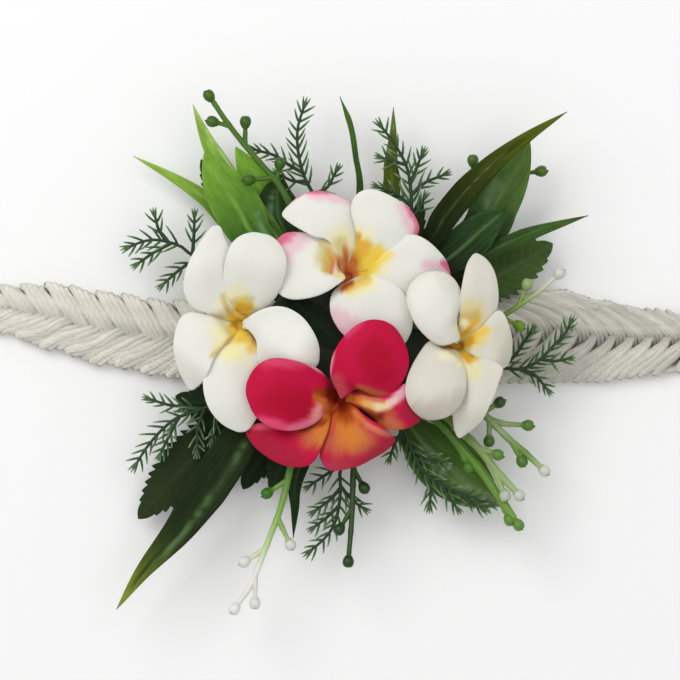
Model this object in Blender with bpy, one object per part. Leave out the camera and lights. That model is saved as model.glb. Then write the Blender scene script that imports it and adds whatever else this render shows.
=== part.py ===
"""Wrist corsage: four foam plumeria blooms over a flat spray of leaves, needle sprigs and berry sprays, held
by a taped knot of stems on a braided wrist band with a felt pad under it.

The tables are in millimetres. X runs along the band, Y across it, and Z up from the pad's underside."""

import math

import bpy
from mathutils import Matrix, Vector

MM = 0.001
GAP = 0.3

# Felt pad, the flat oval against the wrist
PAD_HALF_LENGTH = 36.0
PAD_HALF_WIDTH = 27.0
PAD_THICK = 1.6
PAD_SIDES = 40

# Braided band
BAND_LIFT = PAD_THICK + GAP
BAND_THICK = 6.2
BRAID_PITCH = 5.6
BRAID_SLANT = 0.9
BRAID_RELIEF = 0.55
BRAID_END = 117.0
NECK_END = 124.0
TAIL_END = 137.0
NECK_HALF = 2.6
NECK_THICK = 4.6
BINDING_WALL = 0.9
BINDING_SIDES = 12
# x along the band: centre line's y, half width
BAND_COURSE = [
    (-137.0, 11.2, 5.0),
    (-124.0, 10.8, NECK_HALF),
    (-117.0, 10.5, NECK_HALF),
    (-106.0, 9.6, 7.3),
    (-90.0, 7.3, 10.3),
    (-75.0, 3.6, 11.3),
    (-53.0, 0.3, 11.8),
    (0.0, 0.0, 12.5),
    (45.0, -0.2, 13.2),
    (56.0, 0.4, 13.8),
    (70.0, 1.2, 14.4),
    (81.0, -0.4, 12.8),
    (94.0, -0.8, 10.8),
    (106.0, -0.5, 9.6),
    (117.0, 0.0, NECK_HALF),
    (124.0, 0.0, NECK_HALF),
    (137.0, 0.0, 5.0),
]

# Knot of stems, a low oval mound over the band
KNOT_CENTRE = Vector((2.0, 1.0, 0.0))
KNOT_HALF_LENGTH = 28.0
KNOT_HALF_WIDTH = 19.0
KNOT_SIDES = 32
KNOT_RIB = 0.02
KNOT_WALL_TOP = 20.6
KNOT_TOP = 21.6
CHANNEL_HALF = 13.4
CHANNEL_TOP = BAND_LIFT + BAND_THICK + BRAID_RELIEF + GAP

# Foliage lies in layers, one above another, that part further from the knot
LAYER_FIRST = 9.8
LAYER_STEP = 1.5
LAYER_DROOP = -4.0
LAYER_SPREAD = 1.6
SPREAD_RADIUS = 80.0
BLADE_THICK = 0.7
STEM_HALF = 0.9

# Long blades: layer, width, and the middle line's x, y from the tip inwards
LONG_BLADES = {
    "bamboo_leaf_left": (1, 6.0, [(-64.7, 57.6), (-51.8, 50.6), (-41.4, 43.6), (-32.4, 34.4)]),
    "bamboo_leaf_upper_left": (4, 5.6, [
        (-45.8, 73.3), (-42.8, 65.4), (-39.4, 58.4), (-33.2, 49.6), (-25.6, 40.2),
    ]),
    "bamboo_leaf_top": (2, 2.2, [(0.0, 76.1), (3.3, 67.0), (4.9, 57.4), (6.2, 46.0)]),
    "bamboo_leaf_top_right": (2, 6.4, [(16.7, 72.7), (16.6, 64.7), (15.9, 54.7), (15.6, 45.3)]),
    "bamboo_leaf_right": (7, 8.2, [
        (70.2, 70.6), (58.2, 63.0), (47.8, 55.0), (39.2, 46.4), (32.4, 38.0), (28.6, 31.6),
    ]),
    "bamboo_leaf_far_right": (5, 4.8, [(77.2, 38.7), (70.6, 36.7), (60.6, 33.6), (51.4, 29.8), (45.1, 26.4)]),
    "bamboo_leaf_lower_left": (5, 13.0, [
        (-69.4, -83.6), (-61.2, -71.9), (-50.6, -59.6), (-42.9, -48.6), (-35.2, -37.2), (-29.6, -29.0),
    ]),
    "bamboo_leaf_bottom": (2, 5.8, [(-14.6, -61.9), (-14.1, -53.1), (-13.4, -42.2)]),
}

# Broad leaves, in the same form
BROAD_LEAVES = {
    "broad_leaf_left": (5, 15.4, [(-42.2, 58.2), (-37.6, 49.8), (-31.8, 41.0), (-26.6, 32.0)]),
    "broad_leaf_behind": (2, 10.5, [(-32.6, 60.4), (-29.4, 54.6), (-24.6, 46.4)]),
    "broad_leaf_dark_left": (3, 15.0, [(-18.6, 51.6), (-19.6, 44.4), (-18.0, 35.0)]),
    "broad_leaf_right": (4, 14.8, [(59.1, 62.1), (54.4, 52.6), (48.6, 42.6), (43.0, 32.6)]),
    "broad_leaf_dark_right": (6, 12.4, [(51.8, 40.6), (44.4, 34.6), (36.6, 27.6)]),
    "broad_leaf_lower_right": (2, 19.0, [(50.3, -51.8), (41.1, -45.2), (31.8, -37.6), (24.4, -30.2)]),
}

# Saw-toothed leaves, in the same form
TOOTHED_LEAVES = {
    "toothed_leaf_right": (1, 17.5, [(66.6, 30.2), (57.0, 24.6), (46.0, 18.4)]),
    "toothed_leaf_lower_left": (1, 18.5, [(-63.2, -56.0), (-54.6, -46.4), (-44.0, -34.8), (-33.0, -25.0)]),
    "toothed_leaf_left": (0, 14.0, [(-51.6, -17.6), (-44.2, -19.6), (-35.0, -17.0)]),
    "toothed_leaf_bottom": (0, 12.5, [(-30.4, -46.8), (-26.2, -39.0), (-19.2, -29.6)]),
    "toothed_leaf_bottom_inner": (1, 12.0, [(-21.6, -47.6), (-18.0, -39.0), (-12.4, -28.0)]),
    "toothed_leaf_upper_left": (0, 12.0, [(-43.6, 56.6), (-38.6, 47.8), (-29.4, 36.4)]),
    "toothed_leaf_top": (1, 7.0, [(25.4, 44.4), (24.2, 38.5), (22.0, 31.0)]),
    "toothed_leaf_inner_right": (3, 12.0, [(42.6, 28.6), (37.4, 22.4), (31.4, 15.8)]),
}

# Blades with a blunter end: the share of their length that tapers, otherwise LONG_TAPER
LONG_TAPER = 0.52
BLUNT_TAPERS = {"bamboo_leaf_upper_left": 0.26, "bamboo_leaf_far_right": 0.36}

TEETH = 7
FRESH_LEAVES = {"bamboo_leaf_left", "bamboo_leaf_upper_left", "broad_leaf_left", "broad_leaf_behind"}

# Needle sprigs: layer, and stalks from the base outwards; the first is the main stalk, the rest start on it
NEEDLE_SPRIGS = {
    "needle_sprig_left": (3, [
        [(-44.0, 25.2), (-49.4, 29.1), (-53.2, 30.5), (-57.5, 31.3), (-61.3, 30.8), (-65.0, 29.4)],
        [(-54.2, 30.8), (-56.6, 34.6), (-57.6, 38.2)],
        [(-52.6, 30.3), (-58.0, 27.4), (-62.6, 24.2)],
        [(-44.4, 25.6), (-50.0, 22.0), (-54.8, 17.8)],
        [(-46.0, 27.0), (-45.6, 32.4), (-45.4, 38.0)],
    ]),
    "needle_sprig_top": (4, [
        [(-7.6, 43.6), (-9.2, 47.1), (-11.4, 51.6), (-12.8, 57.3), (-13.3, 62.1), (-13.0, 66.9),
         (-11.4, 72.0)],
        [(-11.6, 52.2), (-15.9, 54.6), (-20.0, 57.4), (-26.0, 59.2)],
        [(-8.4, 45.4), (-4.0, 47.6), (-1.4, 52.2)],
        [(-10.4, 49.6), (-14.6, 49.6), (-18.6, 51.4)],
    ]),
    "needle_sprig_top_right": (5, [
        [(22.0, 36.0), (22.3, 41.0), (22.0, 47.6), (21.0, 53.3), (19.2, 57.4), (16.6, 61.6), (13.4, 65.8)],
        [(22.2, 45.0), (26.4, 48.9), (31.8, 51.2)],
        [(21.9, 48.6), (23.8, 53.4), (25.4, 57.4)],
        [(20.6, 54.6), (16.8, 55.6), (13.6, 56.6)],
        [(22.3, 41.6), (17.6, 45.4), (12.6, 47.4)],
        [(22.2, 38.0), (24.6, 40.8), (26.0, 43.6)],
    ]),
    "needle_sprig_lower_left": (3, [
        [(-37.0, -18.8), (-42.6, -21.4), (-48.5, -23.3), (-51.9, -24.9), (-56.4, -28.8), (-60.4, -33.6),
         (-63.2, -38.0)],
        [(-43.0, -21.6), (-48.6, -20.8), (-53.6, -20.2), (-58.8, -18.6)],
        [(-50.4, -24.0), (-53.6, -30.4), (-55.8, -35.0)],
        [(-42.2, -21.2), (-44.4, -27.4), (-44.6, -34.0)],
        [(-40.2, -20.4), (-38.4, -25.2), (-39.8, -30.6)],
    ]),
    "needle_sprig_bottom": (3, [
        [(0.6, -37.0), (-0.1, -41.3), (0.1, -47.2), (-0.6, -53.2), (-2.1, -58.2), (-5.1, -62.2),
         (-8.6, -65.2)],
        [(0.0, -46.4), (-3.6, -50.2), (-7.4, -53.0)],
        [(-0.4, -51.8), (-4.2, -55.4), (-7.6, -58.0)],
        [(0.1, -45.6), (3.6, -49.8), (6.8, -52.2)],
        [(0.3, -39.2), (-4.4, -42.0), (-9.0, -45.2)],
    ]),
    "needle_sprig_lower_right": (4, [
        [(18.6, -24.6), (20.7, -30.0), (22.8, -35.2), (25.9, -40.9), (30.1, -44.2), (36.3, -47.4),
         (46.0, -50.8)],
        [(27.2, -42.2), (28.2, -46.6), (28.0, -51.0)],
        [(31.4, -45.0), (33.8, -48.6), (36.0, -51.8)],
        [(19.8, -27.8), (17.4, -31.6), (15.8, -36.0)],
        [(22.4, -34.2), (27.0, -36.6), (31.8, -38.4)],
        [(37.2, -47.8), (40.6, -50.2), (43.8, -52.2)],
    ]),
    "needle_sprig_right": (4, [
        [(45.0, -8.0), (51.3, -8.8), (57.0, -9.0), (62.2, -6.2), (66.8, -1.5), (69.8, 1.4), (71.4, 4.4)],
        [(50.0, -8.6), (54.4, -5.0), (57.6, -0.4), (59.6, 2.6)],
        [(56.4, -9.0), (61.0, -11.2), (64.2, -15.0)],
        [(62.4, -6.0), (66.6, -6.6), (70.4, -6.0)],
    ]),
}
NEEDLE_PITCH = 3.6
NEEDLE_BASE = 1.15
NEEDLE_LENGTH = 7.2
NEEDLE_LEAN = math.radians(42)
STALK_RADIUS = 0.62
STALK_TIP_RADIUS = 0.42

# Berry sprays: layer, stem radius, the main stem from the base outwards, and side stems. Each ends in a berry
BERRY_SPRAYS = {
    "berry_spray_upper_left": (7, 1.15, [
        [(-13.6, 38.0), (-19.3, 48.7), (-24.0, 54.0), (-29.3, 60.2), (-34.6, 66.9), (-39.1, 73.5)],
        [(-34.2, 66.4), (-37.0, 67.1)],
        [(-29.5, 60.5), (-29.4, 65.0)],
        [(-19.8, 49.3), (-19.2, 52.2)],
        [(-21.0, 50.6), (-23.6, 50.2), (-25.6, 50.0)],
    ]),
    "berry_spray_right": (2, 0.9, [
        [(35.4, 25.0), (42.0, 36.0), (50.0, 47.0), (55.0, 51.6), (60.2, 52.4)],
        [(41.2, 34.9), (41.4, 44.0), (41.5, 53.4)],
    ]),
    "berry_spray_band_side": (6, 1.0, [
        [(44.0, 4.4), (51.8, 8.2), (56.4, 11.2), (61.1, 14.4), (66.2, 18.9)],
        [(55.4, 10.5), (57.2, 14.8)],
        [(50.0, 7.3), (53.4, 5.6)],
    ]),
    "berry_spray_lower_right_outer": (5, 1.35, [
        [(37.0, -16.6), (44.6, -23.0), (52.3, -30.6), (57.0, -34.5), (61.6, -38.8)],
        [(44.4, -22.8), (47.4, -20.9)],
        [(46.2, -24.6), (50.6, -26.0), (55.8, -26.4)],
        [(53.4, -31.5), (55.4, -35.4)],
        [(46.6, -25.0), (46.5, -28.8)],
    ]),
    "berry_spray_lower_right_middle": (7, 1.55, [
        [(29.0, -19.6), (36.0, -26.6), (43.5, -34.2), (48.6, -40.6), (53.8, -46.2)],
        [(43.0, -33.7), (46.4, -34.8)],
        [(47.6, -39.4), (50.2, -45.8)],
    ]),
    "berry_spray_lower_right_inner": (6, 1.7, [
        [(25.4, -21.0), (32.4, -27.0), (37.3, -33.1), (43.6, -40.4), (49.4, -48.6), (53.9, -55.2)],
        [(50.0, -49.5), (51.6, -53.4)],
        [(37.2, -33.0), (39.0, -37.2)],
    ]),
    "berry_spray_bottom_left": (6, 1.2, [
        [(-14.4, -35.0), (-15.6, -40.3), (-17.1, -47.2), (-19.1, -54.2), (-22.0, -61.7), (-27.5, -75.6),
         (-31.2, -81.2)],
        [(-26.4, -73.2), (-26.4, -79.0)],
        [(-16.4, -43.6), (-20.4, -46.2)],
        [(-19.5, -55.2), (-16.6, -61.2)],
        [(-23.3, -65.0), (-27.4, -67.5)],
    ]),
    "berry_spray_bottom": (6, 1.1, [
        [(4.4, -36.0), (4.1, -41.0), (3.9, -48.7), (3.6, -56.5), (2.8, -66.2)],
        [(4.1, -40.0), (6.2, -43.7)],
        [(3.8, -52.4), (1.2, -56.6)],
    ]),
}
BERRY_RADIUS = 1.85
BERRY_STEM_TAPER = 0.72
# Along and out from the middle of a berry, over its radius
BERRY_PROFILE = [(-1.1, 0.5), (-0.5, 0.9), (0.25, 1.0), (0.85, 0.55)]

# Blooms: throat, foot on the knot, and petals clockwise. Each petal has its height at the middle and the tip,
# how far its edges tilt, how far it domes, and its two edges from the funnel to the tip. Its first edge lies
# over the petal before it, and its second edge lies under the next.
BLOOMS = {
    "plumeria_left": ((-31.1, 4.8, 29.0), (-20.0, 5.0), [
        (35.0, 31.5, 1.5, 1.6,
         [(-41.1, 8.3), (-45.6, 10.0), (-48.2, 14.5), (-48.2, 19.3), (-46.5, 24.5), (-43.7, 29.5),
          (-40.2, 34.5), (-38.4, 35.4)],
         [(-33.7, 16.3), (-33.4, 22.8), (-34.1, 28.4), (-35.4, 31.0), (-37.1, 33.6), (-38.4, 35.4)]),
        (36.2, 33.5, 1.2, 1.8,
         [(-35.7, 15.4), (-36.2, 19.3), (-35.4, 24.9), (-33.7, 29.5), (-30.9, 32.1), (-27.6, 33.1),
          (-24.2, 32.4)],
         [(-22.9, 10.2), (-19.8, 13.2), (-17.4, 18.4), (-16.4, 23.2), (-17.0, 27.1), (-19.0, 30.1),
          (-21.1, 31.8), (-24.2, 32.4)]),
        (32.0, 28.2, 1.2, 1.2,
         [(-26.3, 8.5), (-22.4, 10.1), (-19.0, 10.5), (-15.5, 9.7), (-11.6, 7.2), (-8.6, 3.3),
          (-6.8, -0.6), (-6.3, -4.1), (-7.0, -7.8)],
         [(-25.9, 0.2), (-25.8, -4.1), (-25.0, -7.6), (-21.1, -10.0), (-15.9, -10.8), (-10.7, -10.0),
          (-7.0, -7.8)]),
        (31.8, 29.4, -1.0, 1.6,
         [(-25.6, -0.8), (-24.9, -4.8), (-24.4, -9.2), (-23.9, -13.2), (-23.7, -17.1), (-24.4, -21.5),
          (-26.3, -24.9), (-28.1, -27.5), (-30.5, -28.5)],
         [(-38.0, -5.4), (-40.9, -9.7), (-42.0, -13.6), (-41.9, -17.6), (-40.4, -21.5), (-37.6, -25.1),
          (-34.1, -27.5), (-30.5, -28.5)]),
        (33.0, 27.0, 1.5, 1.2,
         [(-36.3, -2.2), (-38.9, -5.6), (-40.4, -9.3), (-41.9, -12.3), (-43.7, -14.1), (-45.2, -15.2),
          (-46.5, -15.5)],
         [(-39.3, 7.4), (-44.1, 8.5), (-48.0, 8.3), (-50.4, 5.0), (-51.5, -0.2), (-51.2, -5.0),
          (-49.7, -10.0), (-47.8, -13.6), (-46.5, -15.5)]),
    ]),
    "plumeria_top": ((2.4, 19.5, 28.0), (4.4, 15.4), [
        (32.5, 31.0, 1.2, 1.4,
         [(-1.2, 25.0), (-2.1, 28.8), (-4.5, 31.3), (-7.8, 31.8), (-11.4, 33.7), (-14.9, 35.8),
          (-17.3, 37.8), (-17.9, 39.2)],
         [(5.0, 29.7), (5.4, 33.7), (4.6, 38.4), (3.4, 42.4), (0.5, 43.9), (-2.7, 45.5), (-6.2, 46.2),
          (-9.8, 45.7), (-13.3, 44.1), (-16.1, 41.4), (-17.9, 39.2)]),
        (32.5, 30.0, 1.2, 1.6,
         [(5.3, 30.5), (4.4, 36.0), (3.3, 40.4), (4.0, 43.5), (6.0, 45.8), (8.8, 46.6), (12.3, 46.1),
          (16.2, 44.3), (20.2, 41.8), (22.7, 39.0), (24.3, 35.7), (24.1, 32.7)],
         [(10.9, 22.8), (15.0, 25.2), (18.8, 27.6), (21.9, 29.8), (24.1, 32.7)]),
        (31.0, 27.5, 1.2, 1.4,
         [(10.7, 24.2), (14.3, 28.0), (17.4, 31.1), (20.6, 32.6), (23.7, 32.5), (26.9, 30.9), (30.0, 28.2),
          (32.4, 25.4), (33.6, 22.6), (34.2, 19.5)],
         [(10.3, 16.7), (15.5, 14.0), (20.2, 12.8), (24.9, 13.2), (29.6, 14.8), (32.8, 16.7), (34.2, 19.5)]),
        (30.5, 27.0, 1.2, 1.2,
         [(8.4, 19.5), (12.3, 19.3), (16.2, 17.7), (19.4, 15.2), (21.4, 11.6), (22.5, 7.3), (22.2, 2.9),
          (20.0, -1.0)],
         [(-2.1, 15.0), (-3.1, 12.0), (-3.0, 8.5), (-1.7, 5.3), (0.5, 2.1), (4.0, -0.6), (9.1, -2.6),
          (15.1, -2.8), (20.0, -1.0)]),
        (30.5, 28.0, 1.2, 1.4,
         [(-0.7, 17.1), (-3.5, 15.2), (-7.0, 13.6), (-11.0, 12.7), (-14.9, 12.5), (-18.4, 13.8),
          (-20.4, 17.1), (-21.2, 22.2)],
         [(-1.8, 23.0), (-2.1, 26.4), (-3.5, 29.4), (-5.8, 31.0), (-9.4, 32.5), (-13.3, 33.5), (-16.9, 33.2),
          (-19.6, 30.9), (-21.0, 27.0), (-21.2, 22.2)]),
    ]),
    "plumeria_right": ((36.7, -1.8, 30.5), (24.6, 5.4), [
        (35.5, 35.0, 1.2, 1.4,
         [(38.1, 7.3), (37.8, 12.4), (37.8, 16.4), (38.5, 21.1), (39.7, 24.6), (41.8, 26.8)],
         [(46.2, 4.9), (48.5, 9.3), (49.0, 13.6), (48.5, 18.3), (47.2, 22.3), (44.8, 25.4), (41.8, 26.8)]),
        (33.5, 29.5, 1.2, 1.0,
         [(43.4, 3.7), (46.2, 6.9), (48.5, 9.1), (50.3, 8.7), (51.7, 6.1), (52.7, 2.9), (53.3, -0.6),
          (53.0, -4.1), (51.9, -7.5)],
         [(43.2, -6.2), (46.6, -8.6), (49.7, -9.2), (51.9, -7.5)]),
        (34.0, 28.5, 1.2, 1.2,
         [(44.2, -5.3), (48.5, -6.9), (50.5, -8.9), (49.5, -12.0), (48.1, -16.0), (46.6, -19.5),
          (44.6, -23.9), (41.4, -27.4), (37.0, -30.4)],
         [(36.7, -8.5), (35.9, -13.2), (35.1, -17.9), (34.8, -22.7), (35.2, -26.6), (36.0, -29.2),
          (37.0, -30.4)]),
        (36.5, 34.0, 1.2, 2.6,
         [(37.1, -4.9), (38.7, -8.1), (39.2, -12.4), (38.7, -16.8), (36.7, -20.9), (33.6, -23.5),
          (30.0, -24.5), (26.9, -24.3)],
         [(29.6, -0.6), (27.4, -0.4), (24.9, -3.4), (22.1, -8.1), (20.5, -12.4), (20.1, -16.0),
          (21.1, -19.7), (23.7, -22.8), (26.9, -24.3)]),
        (37.0, 35.0, 1.2, 2.6,
         [(32.0, -1.8), (28.8, -0.8), (25.7, 1.8), (22.9, 5.3), (21.1, 9.7), (20.6, 12.8), (21.3, 15.8)],
         [(35.9, 6.5), (37.1, 10.4), (37.7, 13.6), (36.7, 16.7), (34.7, 19.5), (32.0, 21.0), (28.8, 21.3),
          (25.7, 20.6), (22.9, 18.5), (21.3, 15.8)]),
    ]),
    "plumeria_pink": ((0.2, -18.6, 29.0), (-1.0, -12.6), [
        (36.8, 35.5, 1.2, 3.2,
         [(-4.9, -22.9), (-6.9, -25.2), (-9.9, -26.9), (-13.7, -27.9), (-17.4, -28.0), (-21.2, -27.1),
          (-24.5, -25.0), (-27.2, -21.8), (-29.0, -15.8)],
         [(-5.1, -10.8), (-8.1, -8.3), (-11.8, -7.0), (-15.9, -5.9), (-19.7, -5.5), (-23.0, -6.2),
          (-26.0, -8.3), (-28.1, -11.7), (-29.0, -15.8)]),
        (36.2, 35.0, 1.2, 3.2,
         [(-2.7, -12.1), (-3.0, -8.0), (-2.1, -4.2), (0.2, -0.1), (3.5, 3.5), (6.9, 5.6), (10.7, 6.3),
          (15.0, 5.2)],
         [(4.7, -14.9), (7.7, -15.3), (10.3, -16.9), (13.3, -17.4), (16.3, -16.0), (18.9, -13.6),
          (20.8, -9.8), (21.3, -6.1), (20.4, -2.0), (18.2, 2.2), (15.0, 5.2)]),
        (32.6, 30.0, 1.6, 1.0,
         [(6.5, -16.6), (10.3, -17.5), (14.0, -17.5), (17.0, -15.8), (20.4, -13.2), (21.5, -16.9),
          (23.0, -21.4), (25.1, -24.6)],
         [(5.8, -22.9), (9.5, -25.6), (13.7, -27.4), (17.8, -27.9), (21.5, -27.1), (25.1, -24.6)]),
        (33.0, 28.0, 1.4, 1.4,
         [(4.1, -21.4), (6.2, -24.4), (9.2, -26.1), (12.5, -26.9), (15.5, -28.6), (17.1, -31.0)],
         [(-2.9, -23.7), (-3.8, -28.2), (-5.4, -32.3), (-6.4, -35.3), (-5.6, -38.1), (-3.4, -40.5),
          (0.9, -40.2), (5.8, -39.0), (10.3, -36.6), (14.4, -34.2), (17.1, -31.0)]),
        (31.6, 27.2, 1.4, 1.4,
         [(-3.0, -23.3), (-3.6, -27.8), (-5.1, -31.5), (-6.4, -34.9), (-7.7, -37.2), (-9.9, -38.9),
          (-12.9, -39.4), (-16.7, -39.0), (-20.4, -37.5), (-23.8, -35.3), (-26.8, -32.7), (-29.3, -28.6)],
         [(-6.9, -24.4), (-11.4, -26.7), (-15.9, -27.1), (-20.4, -26.3), (-24.2, -25.6), (-27.3, -26.3),
          (-29.3, -28.6)]),
    ]),
}
PETAL_THICK = 1.0
PETAL_STATIONS = (0.0, 0.14, 0.3, 0.46, 0.62, 0.76, 0.88, 0.97)
PETAL_COLUMNS = (-1.0, -0.4, 0.4, 1.0)
PETAL_ROOT = 3.6
PETAL_ROOT_TURN = math.radians(42)
# Height above the throat at shares of the way out, before the petal's own heights take over
PETAL_RISE = [(0.0, -2.4), (0.16, 1.6)]
# The bloom's funnel: height from the throat and radius, up the outside and down into the hollow
FUNNEL = [(-5.4, 1.7), (-3.2, 3.7), (-0.6, 5.4), (-0.4, 4.5), (-3.0, 2.4), (-4.0, 1.2)]
FUNNEL_SIDES = 10
# The post that it stands on and the stem between them
POST_RADIUS = 2.3
POST_HEIGHT = 2.6
BLOOM_STEM = 1.5

# Dark leaf tucked over the knot between the blooms
TUCKED_LEAF = (9.0, [(-17.5, 15.5, 22.9), (-9.0, 7.0, 23.3), (3.5, -3.5, 22.9)])

# Colours as red, green, blue
CREAM_FIBRE = (0.78, 0.76, 0.70)
FELT_GREEN = (0.03, 0.07, 0.03)
TAPE_GREEN = (0.03, 0.06, 0.025)
FRESH_GREEN = (0.16, 0.35, 0.05)
DEEP_GREEN = (0.04, 0.11, 0.03)
NEEDLE_GREEN = (0.06, 0.14, 0.07)
BERRY_GREEN = (0.12, 0.28, 0.05)
PETAL_WHITE = (0.88, 0.87, 0.82)
PETAL_PINK = (0.75, 0.06, 0.18)


def clear_scene():
    for thing in list(bpy.data.objects):
        bpy.data.objects.remove(thing)


def material(name, colour, roughness):
    """A plain Principled material, made once for each name."""
    made = bpy.data.materials.get(name)
    if made is None:
        made = bpy.data.materials.new(name)
        made.use_nodes = True
        shader = made.node_tree.nodes["Principled BSDF"]
        shader.inputs["Base Color"].default_value = (*colour, 1.0)
        shader.inputs["Roughness"].default_value = roughness
        shader.inputs["Metallic"].default_value = 0.0
        made.diffuse_color = (*colour, 1.0)
    return made


def mesh_object(name, points, faces, finish=None):
    """An object from points in millimetres and faces that point outwards."""
    mesh = bpy.data.meshes.new(name)
    mesh.from_pydata([Vector(p) * MM for p in points], [], faces)
    mesh.validate()
    thing = bpy.data.objects.new(name, mesh)
    bpy.context.scene.collection.objects.link(thing)
    if finish:
        mesh.materials.append(finish)
    return thing


def smooth_by_angle(thing, degrees):
    thing.data.shade_smooth()
    thing.data.set_sharp_from_angle(angle=math.radians(degrees))


def blend(low, high, share):
    return low + (high - low) * share


def smoothstep(share):
    share = min(1.0, max(0.0, share))
    return share * share * (3 - 2 * share)


def curve_point(points, span, t):
    """A point on the Catmull-Rom curve through the points, in the given span."""
    last = len(points) - 1
    p1, p2 = points[span], points[span + 1]
    p0 = points[span - 1] if span > 0 else p1 * 2 - p2
    p3 = points[span + 2] if span + 2 <= last else p2 * 2 - p1
    bend = p0 * 2 - p1 * 5 + p2 * 4 - p3
    twist = p1 * 3 - p0 - p2 * 3 + p3
    return 0.5 * (p1 * 2 + (p2 - p0) * t + bend * t * t + twist * t * t * t)


def measured(points):
    """A close row of points on the curve through the given points, and the length up to each."""
    fine = 14
    dense = [curve_point(points, span, k / fine) for span in range(len(points) - 1) for k in range(fine)]
    dense.append(points[-1])
    lengths = [0.0]
    for a, b in zip(dense, dense[1:]):
        lengths.append(lengths[-1] + (b - a).length)
    return dense, lengths


def along(row, share):
    """The point of a measured row at this share of its length, and the unit tangent there."""
    dense, lengths = row
    want = share * lengths[-1]
    k = next((i for i in range(1, len(dense)) if lengths[i] >= want - 1e-9), len(dense) - 1)
    step = lengths[k] - lengths[k - 1]
    place = dense[k - 1].lerp(dense[k], (want - lengths[k - 1]) / step)
    return place, (dense[min(k + 1, len(dense) - 1)] - dense[max(k - 2, 0)]).normalized()


def stations(points, shares):
    """Points and unit tangents at these shares of the length of the curve through the points."""
    row = measured(points)
    return [along(row, share) for share in shares]


def flat(share):
    return 0.0


def blade(points, shares, halves, columns, crown, thick, roll=flat, wave=0.0):
    """Points and faces of a thin closed blade along a curve. halves are its half widths at the stations,
    columns its lines across from -1 to 1, and crown(v) its height across over half width. roll(share) turns
    it about the curve, and wave is how far its edges rise and fall."""
    rows = len(shares)
    width = len(columns)
    top, bottom = [], []
    for row, (place, tangent) in enumerate(stations(points, shares)):
        half = halves[row]
        side = Vector((tangent.y, -tangent.x, 0.0)).normalized()
        side = Matrix.Rotation(roll(shares[row]), 3, tangent) @ side
        normal = side.cross(tangent).normalized()
        for v in columns:
            ripple = wave * abs(v) * math.sin(2.1 * row + v) * min(1.0, half / 4)
            middle = place + side * (half * v) + normal * (half * crown(v) + ripple)
            top.append(middle + normal * (thick / 2))
            bottom.append(middle - normal * (thick / 2))
    return sheet(top, bottom, rows, width)


def sheet(top, bottom, rows, width):
    """Points and faces of a thin closed sheet from the grids of its two sides, row after row."""
    faces = []
    under = rows * width
    for r in range(rows - 1):
        for c in range(width - 1):
            a, b = r * width + c, r * width + c + 1
            d, e = a + width, b + width
            faces += [(a, b, e), (a, e, d)]
            faces += [(under + a, under + e, under + b), (under + a, under + d, under + e)]
    for r in range(rows - 1):
        left, right = r * width, r * width + width - 1
        faces += [(left, left + width, under + left + width), (left, under + left + width, under + left)]
        faces += [(right, under + right + width, right + width)]
        faces += [(right, under + right, under + right + width)]
    for c in range(width - 1):
        first, last = c, (rows - 1) * width + c
        faces += [(first, under + first + 1, first + 1), (first, under + first, under + first + 1)]
        faces += [(last, last + 1, under + last + 1), (last, under + last + 1, under + last)]
    return top + bottom, faces


def tube(points, radii, sides):
    """Points and faces of a closed round tube along the given points."""
    rings = []
    last = len(points) - 1
    for k, (place, radius) in enumerate(zip(points, radii)):
        tangent = (points[min(k + 1, last)] - points[max(k - 1, 0)]).normalized()
        side = tangent.cross(Vector((0, 0, 1)))
        side = side.normalized() if side.length > 0.05 else Vector((1, 0, 0))
        down = tangent.cross(side)
        turns = [math.tau * (j + 0.5) / sides for j in range(sides)]
        rings.append([place + side * (radius * math.cos(t)) + down * (radius * math.sin(t)) for t in turns])
    return skin(rings)


def skin(rings):
    """Points and faces of the closed body through rings, each anticlockwise as seen from the last one."""
    count = len(rings[0])
    points = [p for ring in rings for p in ring]
    faces = [tuple(range(count))[::-1]]
    for r in range(len(rings) - 1):
        for j in range(count):
            a, b = r * count + j, r * count + (j + 1) % count
            faces.append((a, b, b + count, a + count))
    faces.append(tuple((len(rings) - 1) * count + j for j in range(count)))
    return points, faces


def fuse(name, pieces, finish):
    """One body from overlapping pieces, each given as points and faces."""
    body = mesh_object(name, *pieces[0])
    joined = bpy.data.collections.new(name + "_pieces")
    bpy.context.scene.collection.children.link(joined)
    for k, piece in enumerate(pieces[1:]):
        extra = mesh_object(f"{name}_piece_{k}", *piece)
        bpy.context.scene.collection.objects.unlink(extra)
        joined.objects.link(extra)
    union = body.modifiers.new("union", "BOOLEAN")
    union.operation = "UNION"
    union.operand_type = "COLLECTION"
    union.collection = joined
    union.solver = "MANIFOLD"
    fused = bpy.data.meshes.new_from_object(body.evaluated_get(bpy.context.evaluated_depsgraph_get()))
    body.modifiers.clear()
    body.data = fused
    for extra in list(joined.objects):
        bpy.data.objects.remove(extra)
    bpy.data.collections.remove(joined)
    fused.materials.clear()
    fused.materials.append(finish)
    return body


def layer_height(x, y, layer):
    """Height of a foliage layer's middle over a place."""
    reach = math.hypot(x - KNOT_CENTRE.x, y - KNOT_CENTRE.y) / SPREAD_RADIUS
    return LAYER_FIRST + LAYER_STEP * layer + (LAYER_DROOP + LAYER_SPREAD * layer) * reach * reach


def on_layer(plan, layer):
    return [Vector((x, y, layer_height(x, y, layer))) for x, y in plan]


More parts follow.
